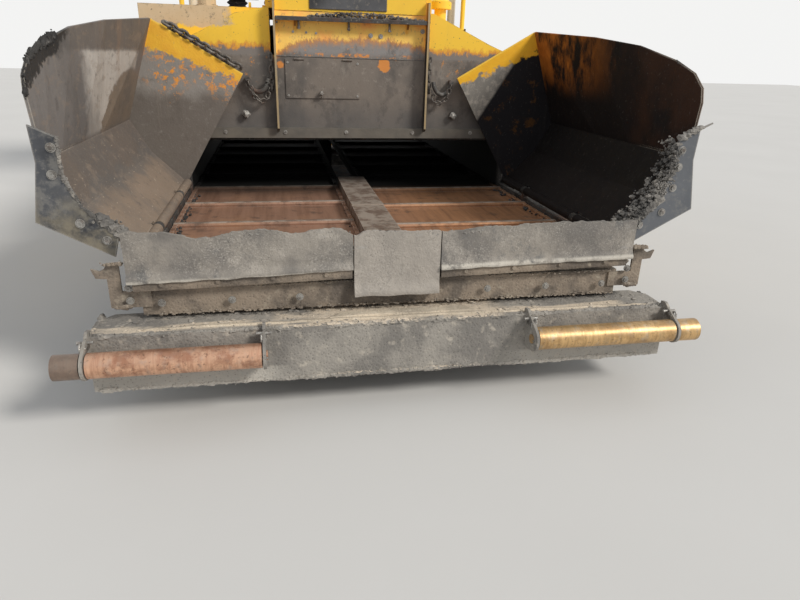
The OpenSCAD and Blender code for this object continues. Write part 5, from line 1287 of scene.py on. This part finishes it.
def seats():
    """Both operator seats, built anew with slides, bellows folds, shells and pads."""
    for side, name in SIDES:
        body = "seat_" + name
        x0 = side * SEAT_X

        def spot(x, y, z):
            return at(x0 + x, SEAT_Y + y, PLATFORM_Z + z)

        base = Piece("seat_base_" + name, body, DARK_STEEL, "frame_steel")
        base.bar(spot(0, 0, 0.0005), spot(0, 0, 0.014), 0.11, 40)
        for k in range(6):
            a = math.pi / 3 * k
            base.bolt(spot(0.096 * math.cos(a), 0.096 * math.sin(a), 0.014), UP, 0.007, 0.007, 1.4)
        base.block(spot(-0.2, -0.205, 0.258), spot(0.2, 0.205, 0.285), 0.006)
        for x in (-0.165, 0.145):
            base.block(spot(x, -0.215, 0.284), spot(x + 0.022, 0.212, 0.306), 0.003)
        base.block(spot(-0.208, -0.213, 0.304), spot(0.208, 0.213, 0.33), 0.008)
        base.pipe([spot(-0.11, -0.19, 0.296), spot(-0.11, -0.236, 0.292), spot(0.11, -0.236, 0.292),
                   spot(0.11, -0.19, 0.296)], 0.006, 10)
        for s in (-1, 1):
            base.pipe([spot(s * 0.205, 0.15, 0.318), spot(s * 0.236, 0.15, 0.33), spot(s * 0.236, 0.15, 0.56),
                       spot(s * 0.24, 0.14, 0.578)], 0.011, 12)
            base.block(spot(s * 0.204, 0.09, 0.3), spot(s * 0.24, 0.19, 0.345), 0.006)
            base.bar(spot(s * 0.232, 0.14, 0.322), spot(s * 0.247, 0.14, 0.322), 0.02, 20)
            base.bar(spot(s * 0.066, 0.226, 0.9), spot(s * 0.066, 0.228, 0.95), 0.006, 12)
        base.done(True, 35)
        folds = Piece("seat_bellows_" + name, body, RUBBER, "seat_cover")
        rings = []
        for k in range(61):
            z = 0.013 + 0.247 * k / 60
            r = 0.086 + 0.011 * math.cos(2 * math.pi * 5.5 * k / 60 + math.pi)
            rings.append([spot(r * math.cos(a), r * math.sin(a), z) for a in around(40)])
        folds.loft(rings)
        folds.done(True, 60)
        shell = Piece("seat_shell_" + name, body, PLASTIC, "console_plastic")
        outline = ((0.262, 0.395, 0.15), (0.268, 0.48, 0.196), (0.272, 0.62, 0.205), (0.268, 0.78, 0.198),
                   (0.262, 0.87, 0.178), (0.252, 0.912, 0.13))
        rings = []
        for y, z, half in outline:
            ring = []
            for n in range(25):
                u = -1 + n / 12
                ring.append(spot(half * u, y - 0.03 * abs(u) ** 3, z))
            rings.append(ring + [spot(half * 0.98 * u, y - 0.016 - 0.030 * abs(u) ** 3, z)
                                 for u in (1 - n / 12 for n in range(25))])
        shell.loft(rings)
        for s in (-1, 1):
            shell.block(spot(s * 0.224, -0.168, 0.574), spot(s * 0.27, 0.168, 0.584), 0.004)
        shell.done(True, 40)
        cushion = pad("seat_cushion_" + name, body, spot(0, -0.022, 0.329), (1, 0, 0), (0, 1, -0.035), 0.23, 0.228,
                      0.098, (-0.52, -0.18, 0.16, 0.5), 0.012)
        back = pad("seat_back_" + name, body, spot(0, 0.252, 0.652), (1, 0, 0), (0, 0.085, 1), 0.212, 0.262, 0.094,
                   (-0.66, -0.33, 0.0, 0.33, 0.66), 0.012)
        pad("seat_headrest_" + name, body, spot(0, 0.252, 0.996), (1, 0, 0), (0, 0.02, 1), 0.122, 0.064, 0.052)
        for s, which in ((-1, "a"), (1, "b")):
            arm = pad("seat_arm_%s_%s" % (which, name), body, spot(s * 0.247, 0.0, 0.583), (1, 0, 0), (0, 1, 0),
                      0.025, 0.168, 0.03)
            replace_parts(arm, body)
        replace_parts(cushion, body)
        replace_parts(back, body)


def console_fittings():
    """Screen glass, knobs, lamps and buttons of the control desk, with its grab rail."""
    def desk(x, y, lift=0.0):
        """Point on the slanting top of the desk, y behind its front."""
        t = (y + 0.02) / 0.26
        return at(x, DESK_Y + y, PLATFORM_Z + 0.892 - 0.092 * t + lift)

    up = Vector((0, 0.33, 0.94)).normalized()
    panel = Piece("console_panel", "console", steel("brushed_panel", (0.2, 0.2, 0.21), (0.13, 0.13, 0.14), 20.0, 0.4,
                                                    0.5, 0.05), "console_plastic")
    rings = []
    for y in (0.03, 0.225):
        rings.append([desk(-0.285, y, 0.0005), desk(0.285, y, 0.0005), desk(0.285, y, 0.004), desk(-0.285, y, 0.004)])
    panel.loft(rings)
    for x in (-0.274, -0.1, 0.06, 0.274):
        for y in (0.042, 0.213):
            panel.bolt(desk(x, y, 0.004), up, 0.0035, 0.004, 1.5)
    panel.done()
    knobs = Piece("console_knobs", "console", PLASTIC, "console_plastic")
    for row, y in enumerate((0.075, 0.115, 0.155)):
        for k in range(5):
            place = desk(-0.105 + 0.04 * k, y, 0.004)
            if row == 0:
                knobs.bar(place, place + up * 0.016, 0.011, 20, 0.0095)
                knobs.block(place + up * 0.014 - Vector((0.0015, 0.009, 0)),
                            place + up * 0.018 + Vector((0.0015, 0.009, 0.002)))
            else:
                knobs.block(place - Vector((0.013, 0.011, 0.001)), place + Vector((0.013, 0.011, 0.007)), 0.002)
    for x in (0.17, 0.22, 0.27):
        lever = at(x, DESK_Y + 0.12, PLATFORM_Z + 0.835)
        for k in range(4):
            knobs.bar(lever + rise(0.01 * k), lever + rise(0.01 * k + 0.005), 0.021 - 0.003 * k, 20)
            knobs.bar(lever + rise(0.01 * k + 0.005), lever + rise(0.01 * k + 0.01), 0.015 - 0.002 * k, 20)
    knobs.pipe([at(-0.215 + 0.058 * math.cos(a), DESK_Y + 0.150 + 0.058 * math.sin(a), PLATFORM_Z + 0.864)
                for a in around(36)], 0.0085, 10, True)
    knobs.done(True, 40)
    stop = Piece("console_stop_button", "console", painted("stop_red", (0.6, 0.02, 0.015), 0.1, 0.35),
                 "console_plastic")
    top = at(0.1, DESK_Y + 0.19, PLATFORM_Z + 0.836)
    profile = ((0.0, 0.024), (0.004, 0.027), (0.012, 0.027), (0.017, 0.022), (0.02, 0.01))
    stop.loft([[top + Vector((r * math.cos(a), r * math.sin(a), h)) for a in around(28)] for h, r in profile])
    stop.done(True, 50)
    collar = Piece("console_stop_collar", "console", PAINT, "yellow_paint")
    collar.bar(desk(0.1, 0.19, 0.003), desk(0.1, 0.19, 0.007), 0.034, 32)
    collar.done()
    lights = Piece("console_lights", "console", lens_finish("pilot_lights", (0.1, 0.42, 0.12)), "console_plastic")
    for k in range(7):
        place = desk(-0.125 + 0.032 * k, 0.2, 0.004)
        lights.bar(place, place + up * 0.005, 0.005, 14, 0.004)
    lights.done(True, 40)
    turn = Matrix.Rotation(math.radians(-20), 3, "X")
    hinge = at(0, DESK_Y, PLATFORM_Z + 0.87)
    screen = Piece("console_screen_glass", "console", lens_finish("screen_glass", (0.012, 0.02, 0.028)),
                   "console_plastic")
    corners = [(-0.128, 0.016), (0.128, 0.016), (0.132, 0.02), (0.132, 0.13), (0.128, 0.134), (-0.128, 0.134),
               (-0.132, 0.13), (-0.132, 0.02)]
    screen.loft([[hinge + turn @ Vector((x, y, z)) for x, z in corners] for y in (0.0255, 0.0285)])
    screen.done()
    bezel = Piece("console_screen_bezel", "console", PLASTIC, "console_plastic")
    for low, high in (((-0.15, 0.024, 0.001), (0.15, 0.032, 0.015)), ((-0.15, 0.024, 0.135), (0.15, 0.032, 0.15)),
                      ((-0.15, 0.024, 0.014), (-0.133, 0.032, 0.136)), ((0.133, 0.024, 0.014), (0.15, 0.032, 0.136))):
        box = [(x, y, z) for x in (low[0], high[0]) for y in (low[1], high[1]) for z in (low[2], high[2])]
        bezel.put([hinge + turn @ Vector(p) for p in box], BOX_FACES)
    for s in (-1, 1):
        bezel.pipe([at(s * 0.3, DESK_Y + 0.225, PLATFORM_Z + 0.8), at(s * 0.3, DESK_Y + 0.28, PLATFORM_Z + 0.812),
                    at(s * 0.15, DESK_Y + 0.288, PLATFORM_Z + 0.812), at(0, DESK_Y + 0.288, PLATFORM_Z + 0.812)],
                   0.01, 12)
    bezel.done(True, 35)


def lamps():
    """Glass, rims and screws of the work lamps."""
    glass = Piece("lamp_glasses", "tractor", LENS, "console_plastic")
    rims = Piece("lamp_rims", "tractor", PLASTIC, "console_plastic")
    for x, y, way in [(x, 3.345, -1) for x in (-0.98, -0.42, 0.42, 0.98)] + [(x, 5.095, 1) for x in (-0.9, 0.9)]:
        middle = at(x, y, LAMP_Z)
        rings = []
        for r, out in ((0.047, 0.0), (0.04, 0.004), (0.024, 0.0065), (0.006, 0.0075)):
            rings.append([middle + Vector((r * math.cos(a), way * out, r * math.sin(a))) for a in around(32)])
        glass.loft(rings)
        rims.pipe([middle + Vector((0.051 * math.cos(a), way * 0.001, 0.051 * math.sin(a))) for a in around(36)],
                  0.0055, 8, True)
        for k in range(3):
            a = math.pi / 6 + 2 * math.pi / 3 * k
            rims.bolt(middle + Vector((0.0555 * math.cos(a), way * -0.008, 0.0555 * math.sin(a))),
                      (math.cos(a), 0, math.sin(a)), 0.004, 0.003, 1.3)
        rims.bolt(at(x, y - way * 0.025, 3.556), (0, 0, -1), 0.008, 0.007, 1.5)
    glass.done(True, 50)
    rims.done(True, 40)


def track_place(along):
    """Point and outward direction on the track, from the front end of the ground run."""
    run, arc = TRACK_REAR - TRACK_FRONT, math.pi * SHOE_R
    if along < run:
        return at(0, TRACK_FRONT + along, TRACK_AXIS_Z - SHOE_R), rise(-1)
    if along < run + arc:
        a = (along - run) / SHOE_R
        out = Vector((0, math.sin(a), -math.cos(a)))
        return at(0, TRACK_REAR, TRACK_AXIS_Z) + out * SHOE_R, out
    if along < 2 * run + arc:
        return at(0, TRACK_REAR - (along - run - arc), TRACK_AXIS_Z + SHOE_R), rise(1)
    a = (along - 2 * run - arc) / SHOE_R
    out = Vector((0, -math.sin(a), math.cos(a)))
    return at(0, TRACK_FRONT, TRACK_AXIS_Z) + out * SHOE_R, out


def track_details():
    """Steel shoe plates with their bolts at every pad, and the ends of the chain's pins."""
    pitch = (2 * (TRACK_REAR - TRACK_FRONT) + 2 * math.pi * SHOE_R) / SHOES
    for side, name in SIDES:
        shoes = Piece("track_shoes_" + name, "tractor", STEEL)
        for k in range(SHOES):
            place, out = track_place((k + 0.5) * pitch)
            way = Vector((0, out.z, -out.y))
            for x in (TRACK_IN - 0.003, TRACK_OUT - 0.012):
                corners = [(-0.47, -0.001), (0.47, -0.001), (0.47, 0.0075), (-0.47, 0.0075)]
                ring = [place + way * (u * pitch) + out * v for u, v in corners]
                shoes.loft([[p + aside(side * xx) for p in ring] for xx in (x, x + 0.015)])
            for x in (TRACK_IN + 0.035, TRACK_IN + 0.075, TRACK_OUT - 0.075, TRACK_OUT - 0.035):
                if place.z > 0.05:
                    spot = place + aside(side * x) + out * (PAD - 0.001)
                    shoes.bar(spot, spot + out * 0.0016, 0.0125, 12)
                    shoes.bar(spot, spot + out * 0.004, 0.0075, 6)
            for x in (TRACK_IN + 0.03, TRACK_OUT - 0.046):
                a, b = place - way * pitch * 0.42 - out * 0.03, place + way * pitch * 0.42 - out * 0.03
                for end, r, sides in ((a, 0.014, 12), (b, 0.01, 10)):
                    shoes.bar(end + aside(side * x), end + aside(side * (x + 0.016)), r, sides)
        shoes.done()


def body_fittings():
    """Bolts and latches of the boxes, the hood and the doors, and the reflectors at the sides and the rear."""
    bolts = Piece("box_bolts")
    for side, top in ((-1, 1.66), (1, 1.36)):
        edges = [(y, z) for z in (1.06, 1.25, 1.36, 1.55) if z < top for y in (1.86, 2.6)]
        for y, z in edges + [(y, 1.045) for y in (2.05, 2.23, 2.41)]:
            bolts.bolt(at(side * BOX_SIDE_X, y, z), (side, 0, 0), *BOX_BOLT)
    for side, x in both((0.58, 0.78, 0.98, 1.18)):
        bolts.bolt(at(side * x, BOX_REAR_Y, 1.1), REARWARD, *BOX_BOLT)
    bolts.done()
    for side, name in SIDES:
        catch = Piece("door_latch_" + name, "door_" + name)
        catch.bar(at(side * 1.2875, 3.386, 1.16), at(side * 1.2945, 3.386, 1.16), 0.01, 20)
        catch.block(at(side * 1.285, 3.38, 1.165), at(side * 1.295, 3.392, 1.214), 0.002)
        top = 1.656 if side < 0 else 1.35
        for y in (2.69, 3.46):
            for z in (1.04, (1.004 + top) / 2, top - 0.03):
                catch.bolt(at(side * DOOR_X, y, z), (side, 0, 0), 0.0055, 0.005, 1.6)
        catch.done()
    hood = Piece("hood_bolts", "hood")
    for side in (-1, 1):
        for y in (1.92, 2.95, 3.43):
            hood.bolt(at(side * HOOD_X, y, 1.735), (side, 0, 0), 0.0065, 0.005, 1.6)
        hood.block(at(side * 0.519, 2.7, 1.716), at(side * 0.53, 2.76, 1.752), 0.003)
        hood.bar(at(side * 0.528, 2.73, 1.734), at(side * 0.536, 2.73, 1.734), 0.01, 18)
    hood.done()
    rear = Piece("rear_reflectors", "screed", lens_finish("reflector_red", (0.5, 0.012, 0.01)), "console_plastic")
    for side, x in both((1.24, 0.4)):
        rear.bar(at(side * x, SCREED_REAR_Y, 0.47), at(side * x, SCREED_REAR_Y + 0.0035, 0.47), 0.026, 32)
    rear.done()
    flank = Piece("side_reflectors", "tractor", lens_finish("reflector_amber", (0.8, 0.26, 0.012)), "console_plastic")
    for side, y in both((1.895, 2.565)):
        flank.bar(at(side * 1.2595, y, 1.15), at(side * 1.264, y, 1.15), 0.026, 32)
    flank.done()


def tread():
    """Raised pattern of the decks that people stand on."""
    def lay(name, body, low, high, z, holes=()):
        piece = Piece(name, body, TREAD, "deck_plate")
        step = 0.034
        columns, rows = int((high[0] - low[0]) / step), int((high[1] - low[1]) / step)
        for i in range(columns):
            for j in range(rows):
                x = low[0] + (high[0] - low[0]) * (i + 0.5) / columns
                y = low[1] + (high[1] - low[1]) * (j + 0.5) / rows
                if any(a < x < c and b < y < d for a, b, c, d in holes):
                    continue
                turn = math.pi / 4 if (i + j) % 2 else -math.pi / 4
                way = Vector((math.cos(turn), math.sin(turn), 0))
                side = Vector((-way.y, way.x, 0))
                middle = at(x, y, z - 0.0003)
                piece.put([middle + way * 0.0125, middle + side * 0.0034, middle - way * 0.0125,
                           middle - side * 0.0034, middle + way * 0.0075 + rise(0.0022),
                           middle - way * 0.0075 + rise(0.0022)], [(0, 1, 4), (1, 2, 5), (1, 5, 4), (2, 3, 5),
                                                                   (3, 0, 4), (3, 4, 5), (0, 3, 2, 1)])
        piece.done()

    lay("walkway_tread", "screed", (-1.405, 5.712), (1.405, 6.362), WALKWAY_Z)
    seats_and_desk = [(s * SEAT_X - 0.14, SEAT_Y - 0.14, s * SEAT_X + 0.14, SEAT_Y + 0.14) for s in (-1, 1)]
    lay("platform_tread", "tractor", (-1.215, 3.53), (1.215, 4.93), PLATFORM_Z,
        seats_and_desk + [(-0.82, 3.6, 0.82, 3.88)])


def canopy_details():
    """Bolts of the posts and of the roof's edge, gussets under the roof and grips on the posts."""
    parts = Piece("canopy_bolts")
    gussets = Piece("canopy_gussets", "tractor", ROOF, "roof_paint")
    grips = Piece("canopy_grips", "tractor", RUBBER, "track_rubber")
    for side in (-1, 1):
        for y in POSTS_Y:
            for dx, dy in ((-0.046, -0.036), (-0.046, 0.036), (0.018, -0.036), (0.018, 0.036)):
                parts.bolt(at(side * (POST_X + dx), y + dy, PLATFORM_Z + 0.012), UP, 0.008, 0.008, 1.5)
            post = at(side * POST_X, y, 0)
            for dx, dy in ((-1, 0), (0, -1), (0, 1)):
                way = Vector((side * dx, dy, 0))
                flat = Vector((way.y, way.x, 0)).normalized() * 0.004
                foot = post + way * 0.033
                profile = ((0, 3.400), (0, ROOF_UNDER_Z), (0.110, ROOF_UNDER_Z), (0.110, 3.545))
                web = [foot + way * out + rise(z) for out, z in profile]
                gussets.loft([[p - flat for p in web], [p + flat for p in web]])
            grips.bar(post + rise(2.55), post + rise(2.8), 0.0385, 28)
            for k in range(9):
                z = 2.565 + 0.0275 * k
                grips.bar(post + rise(z), post + rise(z + 0.01), 0.04, 28)
        for k in range(9):
            parts.bolt(at(side * ROOF_SIDE_X, 3.4 + 0.205 * k, ROOF_EDGE_Z), (side, 0, 0), *ROOF_BOLT)
    for k in range(11):
        x = -1.1 + 0.22 * k
        parts.bolt(at(x, ROOF_FRONT_Y, ROOF_EDGE_Z), FORWARD, *ROOF_BOLT)
        parts.bolt(at(x, ROOF_REAR_Y, ROOF_EDGE_Z), REARWARD, *ROOF_BOLT)
    parts.done()
    gussets.done()
    grips.done()


def barrel_fittings(piece, foot, way, out, rings, ports, bosses):
    """Rings round a barrel's end and bosses at its ports; their rows give start, end, radius and sides."""
    for low, high, r, sides in rings:
        piece.bar(foot + way * low, foot + way * high, r, sides)
    for lift in ports:
        for low, high, r, sides in bosses:
            piece.bar(foot + way * lift + out * low, foot + way * lift + out * high, r, sides)


def cylinder_details():
    """Gland rings, wipers, port bosses and pin keepers of the wing and screed lift cylinders."""
    for side, name in SIDES:
        foot, eye = at(side * 1.15, 0.9, 0.33), at(side * 1.262, 0.9, 0.762)
        ring = Piece("wing_cylinder_gland_" + name, "wing_barrel_" + name, DARK_STEEL)
        barrel_fittings(ring, foot, (eye - foot).normalized(), Vector(FORWARD),
                        ((0.276, 0.3, 0.037, 28), (0.299, 0.306, 0.026, 24)), (0.075, 0.262),
                        ((0.026, 0.046, 0.013, 14), (0.045, 0.056, 0.01, 6)))
        for y in (-0.058, 0.054):
            ring.bar(foot + Vector((0, y, 0)), foot + Vector((0, y + 0.004, 0)), 0.021, 20)
        ring.done(True, 35)
        top, low = at(side * 0.7, 4.7, 1.45), at(side * 0.7, 5.08, 0.56)
        gland = Piece("lift_cylinder_gland_" + name, "lift_barrel_" + name, DARK_STEEL)
        barrel_fittings(gland, top, (low - top).normalized(), aside(-side),
                        ((0.494, 0.52, 0.0455, 30), (0.519, 0.527, 0.032, 26)), (0.085, 0.48),
                        ((0.036, 0.058, 0.015, 14), (0.057, 0.068, 0.012, 6)))
        gland.done(True, 35)


def screed_details():
    """Bolts of the screed, its tow points and its end gates, and grips and threads of the depth spindles."""
    bolts = Piece("screed_bolts", "screed")
    for side in (-1, 1):
        for x in (0.33, 1.13):
            for y in (5.75, 6.3):
                bolts.bolt(at(side * x, y, WALKWAY_Z), UP, 0.009, 0.006, 1.6)
        for x in (0.2, 0.55, 0.9, 1.25):
            for z in (0.345, 0.1):
                bolts.bolt(at(side * x, SCREED_FRONT_Y, z), FORWARD, *GUIDE_BOLT)
        grip = at(side * 1.405, 5.091, 0.8)
        bolts.bar(grip, grip + rise(0.112), 0.0145, 20)
        for k in range(6):
            bolts.bar(grip + rise(0.01 + 0.017 * k), grip + rise(0.016 + 0.017 * k), 0.0165, 20)
        for k in range(30):
            z = 0.575 + 0.006 * k
            bolts.bar(at(side * 1.405, 4.975, z), at(side * 1.405, 4.975, z + 0.003), 0.0152, 16)
        for dz, dy in ((0.04, 0.0), (-0.04, 0.0), (0.0, 0.04), (0.0, -0.04)):
            bolts.bolt(at(side * 1.4338, 1.265 + dy, 0.56 + dz), (side, 0, 0), 0.008, 0.006, 1.4)
    bolts.done()
    for side, name in SIDES:
        gate = Piece("end_gate_bolts_" + name, "extension_" + name)
        for y, z in ((5.1, 0.25), (5.1, 0.1), (5.5, 0.25), (5.5, 0.1), (5.75, 0.36), (5.75, 0.1)):
            gate.bolt(at(side * GATE_X, y, z), (side, 0, 0), 0.011, 0.009, 1.6)
        gate.done()


def wing_outsides():
    """Welds along the ribs on the outside of the wings."""
    for side, name in SIDES:
        welds = Piece("wing_welds_" + name, "wing_" + name, DARK_STEEL)
        for y in (0.435, 0.505, 1.145, 1.215, 1.525, 1.595):
            line = [at(side * (wing_wall_x(y, z) + 0.0125), y, z) for z in (1.12, 1.2, 1.28, 1.36)]
            welds.crust(line, 0.004, int(y * 100), 0.3, (1, 0.8, 1.6), 0)
        welds.done(True)


for build in (apron, wing_crusts, beam_details, crossmember_details, wall_details, chains, hopper_floor, seats,
              console_fittings, lamps, track_details, body_fittings, tread, canopy_details, cylinder_details,
              screed_details, wing_outsides):
    build()

bpy.context.scene.view_settings.view_transform = "Standard"
